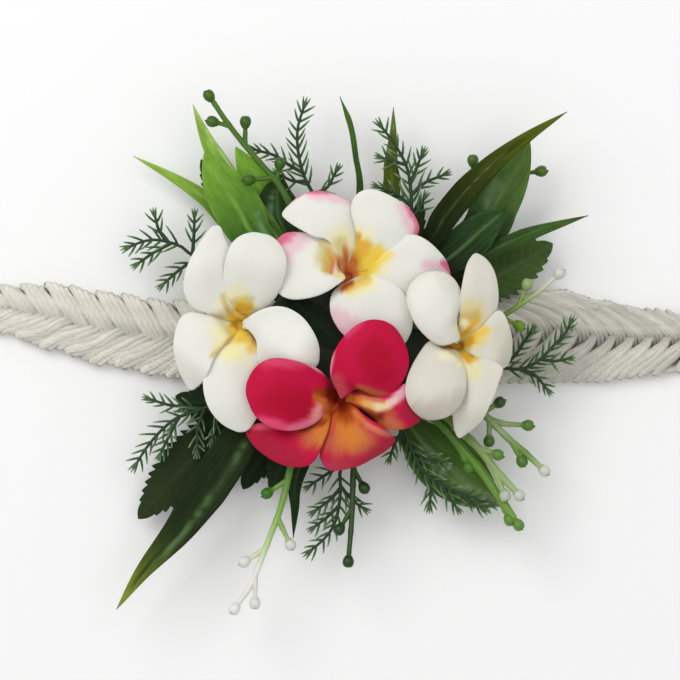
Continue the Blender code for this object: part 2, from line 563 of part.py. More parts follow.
def knot_root(x, y, half):
    """The place just outside the knot's wall on the way in from x, y, for a stem of this half width."""
    away = Vector((x - KNOT_CENTRE.x, y - KNOT_CENTRE.y, 0.0))
    heading = away.normalized()
    reach = 1 / math.hypot(heading.x / KNOT_HALF_LENGTH, heading.y / KNOT_HALF_WIDTH)
    wall = Vector((heading.x / KNOT_HALF_LENGTH**2, heading.y / KNOT_HALF_WIDTH**2, 0)).normalized()
    square = heading.dot(wall)
    askew = math.sqrt(max(0.0, 1 - square * square))
    reach += (GAP + half * askew) / square
    return KNOT_CENTRE + heading * reach


def rooted(plan, layer, half):
    """The route from the knot's wall out through these plan points, which run from the base outwards."""
    root = knot_root(*plan[0], half)
    return on_layer([(root.x, root.y), *plan], layer)


def felt_pad():
    ring = [
        Vector((PAD_HALF_LENGTH * math.cos(t), PAD_HALF_WIDTH * math.sin(t), 0.0))
        for t in (math.tau * j / PAD_SIDES for j in range(PAD_SIDES))
    ]
    rings = [ring, [p + Vector((0, 0, PAD_THICK)) for p in ring]]
    return mesh_object("felt_pad", *skin(rings), material("felt", FELT_GREEN, 0.95))


def band_course(x):
    """Centre line's y and half width at x, eased between the table's rows."""
    x = min(max(x, BAND_COURSE[0][0]), BAND_COURSE[-1][0])
    for (x0, y0, h0), (x1, y1, h1) in zip(BAND_COURSE, BAND_COURSE[1:]):
        if x <= x1:
            share = smoothstep((x - x0) / (x1 - x0))
            return blend(y0, y1, share), blend(h0, h1, share)
    return BAND_COURSE[-1][1:]


def band_underside(x):
    """Height of the band's underside: over the pad, down beside it, and up again at the bound neck."""
    lying = BAND_LIFT * (1 - smoothstep((abs(x) - 37.0) / 20.0))
    return lying + 1.7 * smoothstep((abs(x) - 108.0) / 10.0)


def band_thickness(x):
    return blend(BAND_THICK, NECK_THICK, smoothstep((abs(x) - 90.0) / 27.0)) - 1.4 * smoothstep(
        (abs(x) - NECK_END) / (TAIL_END - NECK_END)
    )


def band_ring(x, ridge):
    """The band's section whose middle is at x, with its edges drawn back along the braid's slant."""
    top_lines = (-1.0, -0.78, -0.4, 0.0, 0.4, 0.78, 1.0)
    under_lines = (0.62, -0.62)
    ring = []
    for v, over in [(v, True) for v in top_lines] + [(v, False) for v in under_lines]:
        _, half = band_course(x)
        slant = BRAID_SLANT * (1 - smoothstep((abs(x) - BRAID_END + 6) / 6))
        place = x - slant * half * abs(v)
        y, half = band_course(place)
        thick = band_thickness(place)
        relief = BRAID_RELIEF * ridge * (1 - v**4)
        edge = 1 + 0.04 * ridge
        low = band_underside(place)
        if over:
            height = 0.42 * thick + 0.58 * thick * (1 - abs(v) ** 2.6) ** 0.6 + relief
        else:
            height = 0.0
        ring.append(Vector((place, y + v * half * edge, low + height)))
    return ring


def braided_band():
    """The whole braid as one body: ridges slant in from both edges to the middle line, all pointing to +X."""
    first = math.ceil(-BRAID_END / (BRAID_PITCH / 2))
    marks = [(k * BRAID_PITCH / 2, 1 if k % 2 else -1) for k in range(first, -first + 1)]
    ends = [(BRAID_END + 2.6, 0), (NECK_END, 0), ((NECK_END + TAIL_END) / 2, 0), (TAIL_END, 0)]
    marks = [(-x, ridge) for x, ridge in reversed(ends)] + marks + ends
    rings = [band_ring(x, ridge)[::-1] for x, ridge in marks]
    band = mesh_object("braided_band", *skin(rings), material("braid", CREAM_FIBRE, 0.9))
    smooth_by_angle(band, 50)
    return band


def end_binding(name, sign):
    """A sleeve of wound cord round the neck where the braid ends."""
    turns = [math.tau * j / BINDING_SIDES for j in range(BINDING_SIDES)]
    middle = sign * (BRAID_END + NECK_END + 1.2) / 2
    y, half = band_course(middle)
    low, thick = band_underside(middle), band_thickness(middle)
    inner = Vector((0, half + GAP + 0.3, thick / 2 + GAP + 0.4))
    profile = [(-2.6, 0.0), (-2.6, 0.7), (-0.9, 1.0), (0.9, 1.0), (2.6, 0.7), (2.6, 0.0)]
    rings = []
    for offset, out in profile:
        out *= BINDING_WALL
        rings.append([
            Vector((
                middle + offset,
                y + (inner.y + out) * math.cos(t),
                low + thick * 0.52 + (inner.z + out) * math.sin(t),
            ))
            for t in turns
        ])
    points = [p for ring in rings for p in ring]
    faces = []
    for r in range(len(rings)):
        here, there = r * BINDING_SIDES, (r + 1) % len(rings) * BINDING_SIDES
        for j in range(BINDING_SIDES):
            following = (j + 1) % BINDING_SIDES
            faces.append((here + j, here + following, there + following, there + j))
    sleeve = mesh_object(name, points, faces, material("binding", CREAM_FIBRE, 0.85))
    smooth_by_angle(sleeve, 50)
    return sleeve


def stem_knot():
    """The oval mound, cut by a channel that the band runs through."""
    rings = []
    for height, scale in [(BAND_LIFT, 1.0), (KNOT_WALL_TOP, 1.0), (KNOT_TOP, 0.95)]:
        ring = []
        for j in range(KNOT_SIDES):
            t = math.tau * j / KNOT_SIDES
            reach = scale * (1 - KNOT_RIB * (j % 2))
            ring.append(KNOT_CENTRE + Vector((
                reach * KNOT_HALF_LENGTH * math.cos(t),
                reach * KNOT_HALF_WIDTH * math.sin(t),
                height,
            )))
        rings.append(ring)
    knot = mesh_object("stem_knot", *skin(rings), material("stem_tape", TAPE_GREEN, 0.7))
    far = KNOT_HALF_LENGTH * 2
    corners = [(-far, -CHANNEL_HALF), (far, -CHANNEL_HALF), (far, CHANNEL_HALF), (-far, CHANNEL_HALF)]
    box = [[Vector((x, y, z)) for x, y in corners] for z in (-5.0, CHANNEL_TOP)]
    cutter = mesh_object("channel_cutter", *skin(box))
    cutter.hide_render = True
    cutter.display_type = "WIRE"
    cut = knot.modifiers.new("band channel", "BOOLEAN")
    cut.operation = "DIFFERENCE"
    cut.object = cutter
    return knot


def leaf(name, finish, route, shares, halves, rise, wave):
    """A leaf whose two halves rise from its midrib."""
    points, faces = blade(route, shares, halves, (-1, 0, 1), lambda v: rise * abs(v), BLADE_THICK, wave=wave)
    made = mesh_object(name, points, faces, finish)
    smooth_by_angle(made, 35)
    return made


def long_shape(share, taper):
    """A narrow blade: soon wide from its stem, then a long taper."""
    return smoothstep(share / 0.34) ** 0.8 * min(1.0, (1 - share) / taper) ** 0.85


def broad_shape(share):
    """An oval leaf with a short stem and a short point."""
    return math.sin(math.pi * ((share - 0.12) / 0.88) ** 1.12) ** 0.8 if share > 0.12 else 0.0


def toothed_shape(share):
    return math.sin(math.pi * ((share - 0.16) / 0.84) ** 1.1) ** 0.76 if share > 0.16 else 0.0


def even_leaf(name, row, finish, shape, count, rise, wave):
    layer, width, plan = row
    route = rooted(list(reversed(plan)), layer, STEM_HALF)
    shares = [k / count for k in range(count + 1)]
    halves = [max(STEM_HALF, width / 2 * shape(share)) for share in shares[:-1]] + [0.35]
    return leaf(name, finish, route, shares, halves, rise, wave)


def toothed_leaf(name, row, finish):
    """A leaf whose edge is cut into forward teeth."""
    layer, width, plan = row
    route = rooted(list(reversed(plan)), layer, STEM_HALF)
    shares, halves = [0.0, 0.16], [STEM_HALF, STEM_HALF]
    for k in range(TEETH):
        for part, cut in ((0.3, 0.84), (0.86, 1.0)):
            share = 0.2 + 0.77 * (k + part) / TEETH
            shares.append(share)
            halves.append(max(STEM_HALF, width / 2 * toothed_shape(share) * cut))
    return leaf(name, finish, route, [*shares, 1.0], [*halves, 0.5], 0.05, 0.2)


def leaves():
    fresh = material("fresh_leaf", FRESH_GREEN, 0.45)
    deep = material("deep_leaf", DEEP_GREEN, 0.4)
    cloth = material("toothed_leaf", DEEP_GREEN, 0.8)
    for name, row in LONG_BLADES.items():
        taper = BLUNT_TAPERS.get(name, LONG_TAPER)
        finish = fresh if name in FRESH_LEAVES else deep
        even_leaf(name, row, finish, lambda share: long_shape(share, taper), 8, 0.12, 0.15)
    for name, row in BROAD_LEAVES.items():
        even_leaf(name, row, fresh if name in FRESH_LEAVES else deep, broad_shape, 9, 0.05, 0.3)
    for name, row in TOOTHED_LEAVES.items():
        toothed_leaf(name, row, cloth)
    width, line = TUCKED_LEAF
    shares = [k / 8 for k in range(9)]
    bulges = [math.sin(math.pi * min(0.97, max(0.03, share))) ** 0.7 for share in shares]
    halves = [max(0.6, width / 2 * bulge) for bulge in bulges]
    leaf("tucked_leaf", cloth, [Vector(place) for place in line], shares, halves, 0.06, 0.0)


def curve_length(route):
    return sum((b - a).length for a, b in zip(route, route[1:]))


def needle_stalk(route, radius, bare, reach):
    """Points and faces of a three-cornered stalk with a needle grown from each side at every pitch past its
    bare part. Needles lean forward, get shorter towards the tip, and tilt a little up and down by turns."""
    length = curve_length(route)
    count = max(1, round((length - bare) / NEEDLE_PITCH))
    pitch = (length - bare) / count
    marks = [0.0]
    for k in range(count):
        marks += [bare + k * pitch, bare + k * pitch + NEEDLE_BASE]
    corners = [math.radians(30), math.radians(150), math.radians(270)]
    points, frames = [], []
    for mark, (place, tangent) in zip(marks, stations(route, [mark / length for mark in marks])):
        side = Vector((tangent.y, -tangent.x, 0.0)).normalized()
        up = side.cross(tangent).normalized()
        size = blend(radius, STALK_TIP_RADIUS, mark / length)
        points += [place + (side * math.cos(t) + up * math.sin(t)) * size for t in corners]
        frames.append((place, tangent))
    faces = [(0, 1, 2)]
    for r in range(len(marks) - 1):
        needles = r % 2 == 1
        for c in range(3):
            low, high = r * 3 + c, r * 3 + (c + 1) % 3
            ring = [high, low, low + 3, high + 3]
            if needles and c != 0:
                k = r // 2
                sign = 1 if c == 2 else -1
                place, tangent = frames[r]
                lean = Matrix.Rotation(-sign * NEEDLE_LEAN, 3, "Z") @ tangent
                tilt = 0.14 if (k + c) % 2 else -0.1
                direction = Vector((lean.x, lean.y, lean.z + tilt)).normalized()
                points_length = reach * (1 - 0.35 * k / count)
                apex = len(points)
                points.append(place + direction * points_length)
                faces += [(ring[j], ring[(j + 1) % 4], apex) for j in range(4)]
            else:
                faces.append(tuple(ring))
    last = (len(marks) - 1) * 3
    place, tangent = frames[-1]
    tip = len(points)
    points.append(place + tangent * (reach * 0.6))
    faces += [(last + (c + 1) % 3, last + c, tip) for c in range(3)]
    return points, faces


def needle_sprig(name, row, finish):
    """A flat sprig: a main stalk of needles with side stalks of needles."""
    layer, plans = row
    main = rooted(plans[0], layer, STALK_RADIUS)
    pieces = [needle_stalk(main, STALK_RADIUS, curve_length(main[:3]), NEEDLE_LENGTH)]
    for plan in plans[1:]:
        pieces.append(needle_stalk(on_layer(plan, layer), STALK_RADIUS * 0.85, 1.6, NEEDLE_LENGTH * 0.8))
    sprig = fuse(name, pieces, finish)
    smooth_by_angle(sprig, 30)
    return sprig


def berry_stem(route, radius, joints):
    """Points and faces of a round stem that swells into a berry at its end."""
    shares = [k / joints for k in range(joints + 1)]
    places = [place for place, _ in stations(route, shares)]
    radii = [blend(radius, radius * BERRY_STEM_TAPER, share) for share in shares]
    end, tangent = stations(route, [1.0])[0]
    for reach, out in BERRY_PROFILE:
        places.append(end + tangent * (BERRY_RADIUS * (reach + 1.5)))
        radii.append(BERRY_RADIUS * out)
    return tube(places, radii, 5)


def berry_spray(name, row, finish):
    """A forked stem with a berry on each end."""
    layer, radius, plans = row
    main = rooted(plans[0], layer, radius)
    pieces = [berry_stem(main, radius, len(plans[0]))]
    for plan in plans[1:]:
        pieces.append(berry_stem(on_layer(plan, layer), radius * 0.8, len(plan) - 1))
    spray = fuse(name, pieces, finish)
    smooth_by_angle(spray, 40)
    return spray


def petal_height(throat, middle, tip, share):
    """Height of a petal's edges at this share of the way from the funnel to its tip."""
    marks = [(at, throat.z + rise) for at, rise in PETAL_RISE] + [(0.62, middle), (1.0, tip)]
    for (s0, z0), (s1, z1) in zip(marks, marks[1:]):
        if share <= s1:
            return blend(z0, z1, smoothstep((share - s0) / (s1 - s0)))
    return tip


def petal_surface(throat, row):
    """Where a petal's middle surface is at a share of the way out and at v across, -1 on its first edge."""
    middle, tip, tilt, dome, first, second = row
    spread = [Vector((x, y, throat.z)) for x, y in first[1:-1] + second[1:-1]]
    out = (sum(spread, Vector()) / len(spread) - throat).normalized() * PETAL_ROOT
    edges = []
    for turn, plan in ((PETAL_ROOT_TURN, first), (-PETAL_ROOT_TURN, second)):
        root = throat + Matrix.Rotation(turn, 3, "Z") @ out
        edges.append(measured([Vector((root.x, root.y, 0.0))] + [Vector((x, y, 0.0)) for x, y in plan]))

    def place(share, v):
        (high, _), (low, _) = along(edges[0], share), along(edges[1], share)
        spot = high.lerp(low, (v + 1) / 2)
        reach = smoothstep(share / 0.4) * (1 - share**4)
        spot.z = petal_height(throat, middle, tip, share) + reach * (dome * (1 - v * v) - tilt * v)
        return spot

    return place


def petal(throat, row):
    place = petal_surface(throat, row)
    near = 0.01
    top, bottom = [], []
    for share in PETAL_STATIONS:
        for v in PETAL_COLUMNS:
            spot = place(share, v)
            outward = place(min(1.0, share + near), v) - place(max(0.0, share - near), v)
            across = place(share, v + near) - place(share, v - near)
            normal = across.cross(outward).normalized()
            top.append(spot + normal * (PETAL_THICK / 2))
            bottom.append(spot - normal * (PETAL_THICK / 2))
    return sheet(top, bottom, len(PETAL_STATIONS), len(PETAL_COLUMNS))


def bloom(name, row, finish):
    """Five petals, the funnel they grow from, and the stem and post below it, as one body."""
    throat, foot, petals = row
    throat = Vector(throat)
    base = Vector((*foot, KNOT_TOP + GAP))
    top = base + Vector((0, 0, POST_HEIGHT))
    rings = [throat + Vector((0, 0, height)) for height, _ in FUNNEL]
    pieces = [level_tube(rings, [radius for _, radius in FUNNEL], FUNNEL_SIDES)]
    pieces.append(level_tube([base, top], [POST_RADIUS, POST_RADIUS], FUNNEL_SIDES))
    pieces.append(tube([top - Vector((0, 0, BLOOM_STEM)), throat - Vector((0, 0, 3.6))], [BLOOM_STEM] * 2, 6))
    for each in petals:
        pieces.append(petal(throat, each))
    made = fuse(name, pieces, finish)
    smooth_by_angle(made, 40)
    return made


def level_tube(points, radii, sides):
    """A closed tube whose rings all lie level, so that its foot stands flat."""
    turns = [math.tau * j / sides for j in range(sides)]
    rings = [
        [place + Vector((radius * math.cos(t), radius * math.sin(t), 0)) for t in turns]
        for place, radius in zip(points, radii)
    ]
    return skin(rings)


def main():
    clear_scene()
    felt_pad()
    braided_band()
    end_binding("end_binding_left", -1)
    end_binding("end_binding_right", 1)
    stem_knot()
    leaves()
    needles = material("needle_sprig", NEEDLE_GREEN, 0.5)
    for name, row in NEEDLE_SPRIGS.items():
        needle_sprig(name, row, needles)
    berries = material("berry_spray", BERRY_GREEN, 0.35)
    for name, row in BERRY_SPRAYS.items():
        berry_spray(name, row, berries)
    white = material("white_petal", PETAL_WHITE, 0.6)
    pink = material("pink_petal", PETAL_PINK, 0.6)
    for name, row in BLOOMS.items():
        bloom(name, row, pink if name == "plumeria_pink" else white)


main()
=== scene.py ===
"""The finished look of the wrist corsage: foam blooms over leaves, needle sprigs and berry sprays on a
braided band. The tables are in millimetres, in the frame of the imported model: X along the band, Z up."""

import math

import bmesh
import bpy
import numpy as np
from mathutils import Matrix, Vector


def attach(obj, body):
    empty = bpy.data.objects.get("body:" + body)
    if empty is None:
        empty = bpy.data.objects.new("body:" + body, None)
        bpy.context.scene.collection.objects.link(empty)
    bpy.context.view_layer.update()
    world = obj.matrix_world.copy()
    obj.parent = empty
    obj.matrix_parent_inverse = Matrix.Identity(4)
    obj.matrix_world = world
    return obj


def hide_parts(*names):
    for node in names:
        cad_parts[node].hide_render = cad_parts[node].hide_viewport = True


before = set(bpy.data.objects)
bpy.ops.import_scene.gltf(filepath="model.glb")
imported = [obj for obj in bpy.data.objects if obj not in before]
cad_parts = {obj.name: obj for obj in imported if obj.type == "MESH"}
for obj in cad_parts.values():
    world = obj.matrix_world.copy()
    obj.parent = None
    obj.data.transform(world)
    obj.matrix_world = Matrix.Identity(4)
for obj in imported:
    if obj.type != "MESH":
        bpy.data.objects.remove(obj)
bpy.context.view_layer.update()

MM = 0.001
GAP = 0.3
# Steps of a smooth curve between two of its points
CURVE_STEPS = 14
# Seeds of the small random differences between cords, between needles and between berries
BAND_SEED = 11
NEEDLE_SEED = 100
BERRY_SEED = 200

# Felt pad, the flat oval against the wrist
PAD_HALF_LENGTH = 36.0
PAD_HALF_WIDTH = 27.0
PAD_THICK = 1.6
PAD_RINGS = 15
PAD_SIDES = 96

# Braided band
BAND_LIFT = PAD_THICK + GAP
BAND_THICK = 6.2
BRAID_RELIEF = 0.55
BRAID_END = 117.0
NECK_END = 124.0
TAIL_END = 137.0
NECK_HALF = 2.6
NECK_THICK = 4.6
# Where it has come down from the pad, rises to the bindings, and thins towards the neck and the tails
LIFT_END = 37.0
LIFT_FADE = 20.0
NECK_RISE = 1.7
NECK_RISE_START = 108.0
NECK_RISE_FADE = 10.0
THIN_START = 90.0
TAIL_THINNING = 1.4
# Powers that round its edges and its top
EDGE_ROUND = 0.85
TOP_ROUND = 0.75
# x along the band: centre line's y, half width
BAND_COURSE = [
    (-137.0, 11.2, 5.0), (-124.0, 10.8, NECK_HALF), (-117.0, 10.5, NECK_HALF), (-106.0, 9.6, 7.3),
    (-90.0, 7.3, 10.3), (-75.0, 3.6, 11.3), (-53.0, 0.3, 11.8), (0.0, 0.0, 12.5), (45.0, -0.2, 13.2),
    (56.0, 0.4, 13.8), (70.0, 1.2, 14.4), (81.0, -0.4, 12.8), (94.0, -0.8, 10.8), (106.0, -0.5, 9.6),
    (117.0, 0.0, NECK_HALF), (124.0, 0.0, NECK_HALF), (137.0, 0.0, 5.0),
]

# For the upper and lower half of the strap: how far back a strand's outer end lies over the half width, and
# how late it bends there, right of the knot and left of it. The slant fades over the braid's last stretch
STRAND_COURSES = {1: ((1.5, 2.3), (0.62, 1.1)), -1: ((1.3, 1.4), (1.4, 1.1))}
SLANT_FADE = 6.0
# The braid's two parts: where it starts and ends, the pitch of its strands and how open its slits are, then
# for each half the number of cords in a strand, their radius, how far they tuck under at the middle line,
# how wide the strand still is there, and its brightness
BRAID_PARTS = [
    (-BRAID_END + 2, 18.0, 8.2, 0.20, {1: (4, 1.2, 0.9, 0.85, 1.12), -1: (3, 1.45, 0.8, 0.85, 1.08)}),
    (18.0, BRAID_END + 3, 5.8, 0.0, {1: (4, 0.88, 2.1, 0.9, 0.97), -1: (2, 1.55, 0.4, 0.3, 0.99)}),
]
# Turns round the band at which a cord is shaped, closer together where it tucks under and on the underside
STRAND_TURNS = np.concatenate([
    np.linspace(-0.07, 0.12, 9), np.linspace(0.16, 0.5, 11), np.linspace(0.56, 1.02, 9),
])
STRAND_FILL = 0.95
STRAND_BULGE = 0.45
STRAND_RELIEF = 1.1
SLIT_LENGTH = 0.09
# Step from one strand to the next along the left part's edges
EDGE_STEP = 0.9
RIM_CORD = 1.0
# Smooth fold along the upper edge right of the knot: its ends, its cords and how much each is shorter
FOLD_FIRST = 56.0
FOLD_LAST = 89.0
FOLD_CORDS = 8
FOLD_PITCH = 0.72
FOLD_RADIUS = 0.8
# The core under the strands, the fibres of the tails and the cord wound round each neck
CORE_SIDES = 16
CORE_INSET = 2.3
TAIL_FIBRES = 34
TAIL_FIBRE = 0.46
BINDING_CORD = 0.5
BINDING_TURNS = 5
BINDING_MIDDLE = (BRAID_END + NECK_END + 1.2) / 2
BINDING_HALF = 2.1
BINDING_SIDE = GAP + 0.75
BINDING_OVER = GAP + 0.85

# Knot of stems, a low oval mound over the band
KNOT_CENTRE = (2.0, 1.0)
KNOT_HALF_LENGTH = 28.0
KNOT_HALF_WIDTH = 19.0
KNOT_WALL_TOP = 20.6
KNOT_TOP = 21.6
KNOT_SIDES = 120
KNOT_RIM = 0.3
KNOT_CLOSING = 0.06
# The stems that show through the tape as ribs, and the tape's own windings
KNOT_STEMS = 16
KNOT_RIB = 0.012
TAPE_RELIEF = 0.008
TAPE_PITCH = 3.2
CHANNEL_HALF = 13.4
CHANNEL_TOP = BAND_LIFT + BAND_THICK + BRAID_RELIEF + GAP

# Foliage lies in layers, one above another, that part further from the knot
LAYER_FIRST = 9.8
LAYER_STEP = 1.5
LAYER_DROOP = -4.0
LAYER_SPREAD = 1.6
SPREAD_RADIUS = 80.0
STEM_HALF = 0.9

# Long blades: layer, width, and the middle line's x, y from the tip inwards
LONG_BLADES = {
    "bamboo_leaf_left": (1, 6.0, [(-64.7, 57.6), (-51.8, 50.6), (-41.4, 43.6), (-32.4, 34.4)]),
    "bamboo_leaf_upper_left": (4, 5.6, [
        (-45.8, 73.3), (-42.8, 65.4), (-39.4, 58.4), (-33.2, 49.6), (-25.6, 40.2)]),
    "bamboo_leaf_top": (2, 2.2, [(0.0, 76.1), (3.3, 67.0), (4.9, 57.4), (6.2, 46.0)]),
    "bamboo_leaf_top_right": (2, 6.4, [(16.7, 72.7), (16.6, 64.7), (15.9, 54.7), (15.6, 45.3)]),
    "bamboo_leaf_right": (7, 8.2, [
        (70.2, 70.6), (58.2, 63.0), (47.8, 55.0), (39.2, 46.4), (32.4, 38.0), (28.6, 31.6)]),
    "bamboo_leaf_far_right": (5, 4.8, [
        (77.2, 38.7), (70.6, 36.7), (60.6, 33.6), (51.4, 29.8), (45.1, 26.4)]),
    "bamboo_leaf_lower_left": (5, 13.0, [
        (-69.4, -83.6), (-61.2, -71.9), (-50.6, -59.6), (-42.9, -48.6), (-35.2, -37.2), (-29.6, -29.0)]),
    "bamboo_leaf_bottom": (2, 5.8, [(-14.6, -61.9), (-14.1, -53.1), (-13.4, -42.2)]),
}

# Broad leaves, in the same form
BROAD_LEAVES = {
    "broad_leaf_left": (5, 15.4, [(-42.2, 58.2), (-37.6, 49.8), (-31.8, 41.0), (-26.6, 32.0)]),
    "broad_leaf_behind": (2, 10.5, [(-32.6, 60.4), (-29.4, 54.6), (-24.6, 46.4)]),
    "broad_leaf_dark_left": (3, 15.0, [(-18.6, 51.6), (-19.6, 44.4), (-18.0, 35.0)]),
    "broad_leaf_right": (4, 14.8, [(59.1, 62.1), (54.4, 52.6), (48.6, 42.6), (43.0, 32.6)]),
    "broad_leaf_dark_right": (6, 12.4, [(51.8, 40.6), (44.4, 34.6), (36.6, 27.6)]),
    "broad_leaf_lower_right": (2, 19.0, [(50.3, -51.8), (41.1, -45.2), (31.8, -37.6), (24.4, -30.2)]),
}

# Saw-toothed leaves, in the same form
TOOTHED_LEAVES = {
    "toothed_leaf_right": (1, 17.5, [(66.6, 30.2), (57.0, 24.6), (46.0, 18.4)]),
    "toothed_leaf_lower_left": (1, 18.5, [(-63.2, -56.0), (-54.6, -46.4), (-44.0, -34.8), (-33.0, -25.0)]),
    "toothed_leaf_left": (0, 14.0, [(-51.6, -17.6), (-44.2, -19.6), (-35.0, -17.0)]),
    "toothed_leaf_bottom": (0, 12.5, [(-30.4, -46.8), (-26.2, -39.0), (-19.2, -29.6)]),
    "toothed_leaf_bottom_inner": (1, 12.0, [(-21.6, -47.6), (-18.0, -39.0), (-12.4, -28.0)]),
    "toothed_leaf_upper_left": (0, 12.0, [(-43.6, 56.6), (-38.6, 47.8), (-29.4, 36.4)]),
    "toothed_leaf_top": (1, 7.0, [(25.4, 44.4), (24.2, 38.5), (22.0, 31.0)]),
    "toothed_leaf_inner_right": (3, 12.0, [(42.6, 28.6), (37.4, 22.4), (31.4, 15.8)]),
}

FRESH_LEAVES = {"bamboo_leaf_left", "bamboo_leaf_upper_left", "broad_leaf_left", "broad_leaf_behind"}

LEAF_ROWS = 64
LEAF_COLUMNS = 23
# The share of a long blade's length that tapers, and that of the blades with a blunter end
LONG_TAPER = 0.52
BLUNT_TAPERS = {"bamboo_leaf_upper_left": 0.26, "bamboo_leaf_far_right": 0.36}
STEM_THICK = 0.62
LEAF_THICK = 0.3
RIB_RISE = 0.22
# Where a leaf runs out to its point, how much the least width narrows there, and the waves of its edges
LEAF_POINT = 0.86
STEM_NARROWING = 0.86
LEAF_WAVES = 17.0
TOOTH_PITCH = 2.6
TOOTH_DEPTH = 0.22
TOOTH_ROOT = 0.45
TOOTH_STEPS = (0.0, 0.35, 0.7, 0.92, 0.97)

# Needle sprigs: layer, and stalks from the base outwards; the first is the main stalk, the rest start on it
NEEDLE_SPRIGS = {
    "needle_sprig_left": (3, [
        [(-44.0, 25.2), (-49.4, 29.1), (-53.2, 30.5), (-57.5, 31.3), (-61.3, 30.8), (-65.0, 29.4)],
        [(-54.2, 30.8), (-56.6, 34.6), (-57.6, 38.2)], [(-52.6, 30.3), (-58.0, 27.4), (-62.6, 24.2)],
        [(-44.4, 25.6), (-50.0, 22.0), (-54.8, 17.8)], [(-46.0, 27.0), (-45.6, 32.4), (-45.4, 38.0)]]),
    "needle_sprig_top": (4, [
        [(-7.6, 43.6), (-9.2, 47.1), (-11.4, 51.6), (-12.8, 57.3), (-13.3, 62.1), (-13.0, 66.9),
         (-11.4, 72.0)], [(-11.6, 52.2), (-15.9, 54.6), (-20.0, 57.4), (-26.0, 59.2)],
        [(-8.4, 45.4), (-4.0, 47.6), (-1.4, 52.2)], [(-10.4, 49.6), (-14.6, 49.6), (-18.6, 51.4)]]),
    "needle_sprig_top_right": (5, [
        [(22.0, 36.0), (22.3, 41.0), (22.0, 47.6), (21.0, 53.3), (19.2, 57.4), (16.6, 61.6), (13.4, 65.8)],
        [(22.2, 45.0), (26.4, 48.9), (31.8, 51.2)], [(21.9, 48.6), (23.8, 53.4), (25.4, 57.4)],
        [(20.6, 54.6), (16.8, 55.6), (13.6, 56.6)], [(22.3, 41.6), (17.6, 45.4), (12.6, 47.4)],
        [(22.2, 38.0), (24.6, 40.8), (26.0, 43.6)]]),
    "needle_sprig_lower_left": (3, [
        [(-37.0, -18.8), (-42.6, -21.4), (-48.5, -23.3), (-51.9, -24.9), (-56.4, -28.8), (-60.4, -33.6),
         (-63.2, -38.0)], [(-43.0, -21.6), (-48.6, -20.8), (-53.6, -20.2), (-58.8, -18.6)],
        [(-50.4, -24.0), (-53.6, -30.4), (-55.8, -35.0)], [(-42.2, -21.2), (-44.4, -27.4), (-44.6, -34.0)],
        [(-40.2, -20.4), (-38.4, -25.2), (-39.8, -30.6)]]),
    "needle_sprig_bottom": (3, [
        [(0.6, -37.0), (-0.1, -41.3), (0.1, -47.2), (-0.6, -53.2), (-2.1, -58.2), (-5.1, -62.2),
         (-8.6, -65.2)], [(0.0, -46.4), (-3.6, -50.2), (-7.4, -53.0)],
        [(-0.4, -51.8), (-4.2, -55.4), (-7.6, -58.0)], [(0.1, -45.6), (3.6, -49.8), (6.8, -52.2)],
        [(0.3, -39.2), (-4.4, -42.0), (-9.0, -45.2)]]),
    "needle_sprig_lower_right": (4, [
        [(18.6, -24.6), (20.7, -30.0), (22.8, -35.2), (25.9, -40.9), (30.1, -44.2), (36.3, -47.4),
         (46.0, -50.8)], [(27.2, -42.2), (28.2, -46.6), (28.0, -51.0)],
        [(31.4, -45.0), (33.8, -48.6), (36.0, -51.8)], [(19.8, -27.8), (17.4, -31.6), (15.8, -36.0)],
        [(22.4, -34.2), (27.0, -36.6), (31.8, -38.4)], [(37.2, -47.8), (40.6, -50.2), (43.8, -52.2)]]),
    "needle_sprig_right": (4, [
        [(45.0, -8.0), (51.3, -8.8), (57.0, -9.0), (62.2, -6.2), (66.8, -1.5), (69.8, 1.4), (71.4, 4.4)],
        [(50.0, -8.6), (54.4, -5.0), (57.6, -0.4), (59.6, 2.6)],
        [(56.4, -9.0), (61.0, -11.2), (64.2, -15.0)], [(62.4, -6.0), (66.6, -6.6), (70.4, -6.0)]]),
}
NEEDLE_LEAN = math.radians(42)
STALK_RADIUS = 0.62
STALK_TIP_RADIUS = 0.42
NEEDLE_PITCH = 2.9
NEEDLE_REACH = 7.0
# How much needles vary in lean, length and bend, and how much shorter they get along a stalk
LEAN_RANGE = (0.85, 1.3)
REACH_RANGE = (0.8, 1.08)
BEND_RANGE = (0.3, 1.2)
NEEDLE_BEND = 0.35
NEEDLE_SHORTENING = 0.35
# The three at a stalk's end: their leans, and their length over the others'
END_LEANS = (-0.3, 0.0, 0.3)
END_NEEDLE = 0.58
# Side stalks: thickness over the main one's, bare length, and needle length over the main one's
SIDE_STALK = 0.85
SIDE_STALK_BARE = 1.6
SIDE_NEEDLE = 0.82
# A needle's radius at shares of its length
NEEDLE_FORM = [(0.0, 0.38), (0.2, 0.43), (0.55, 0.38), (0.85, 0.26), (1.0, 0.08)]

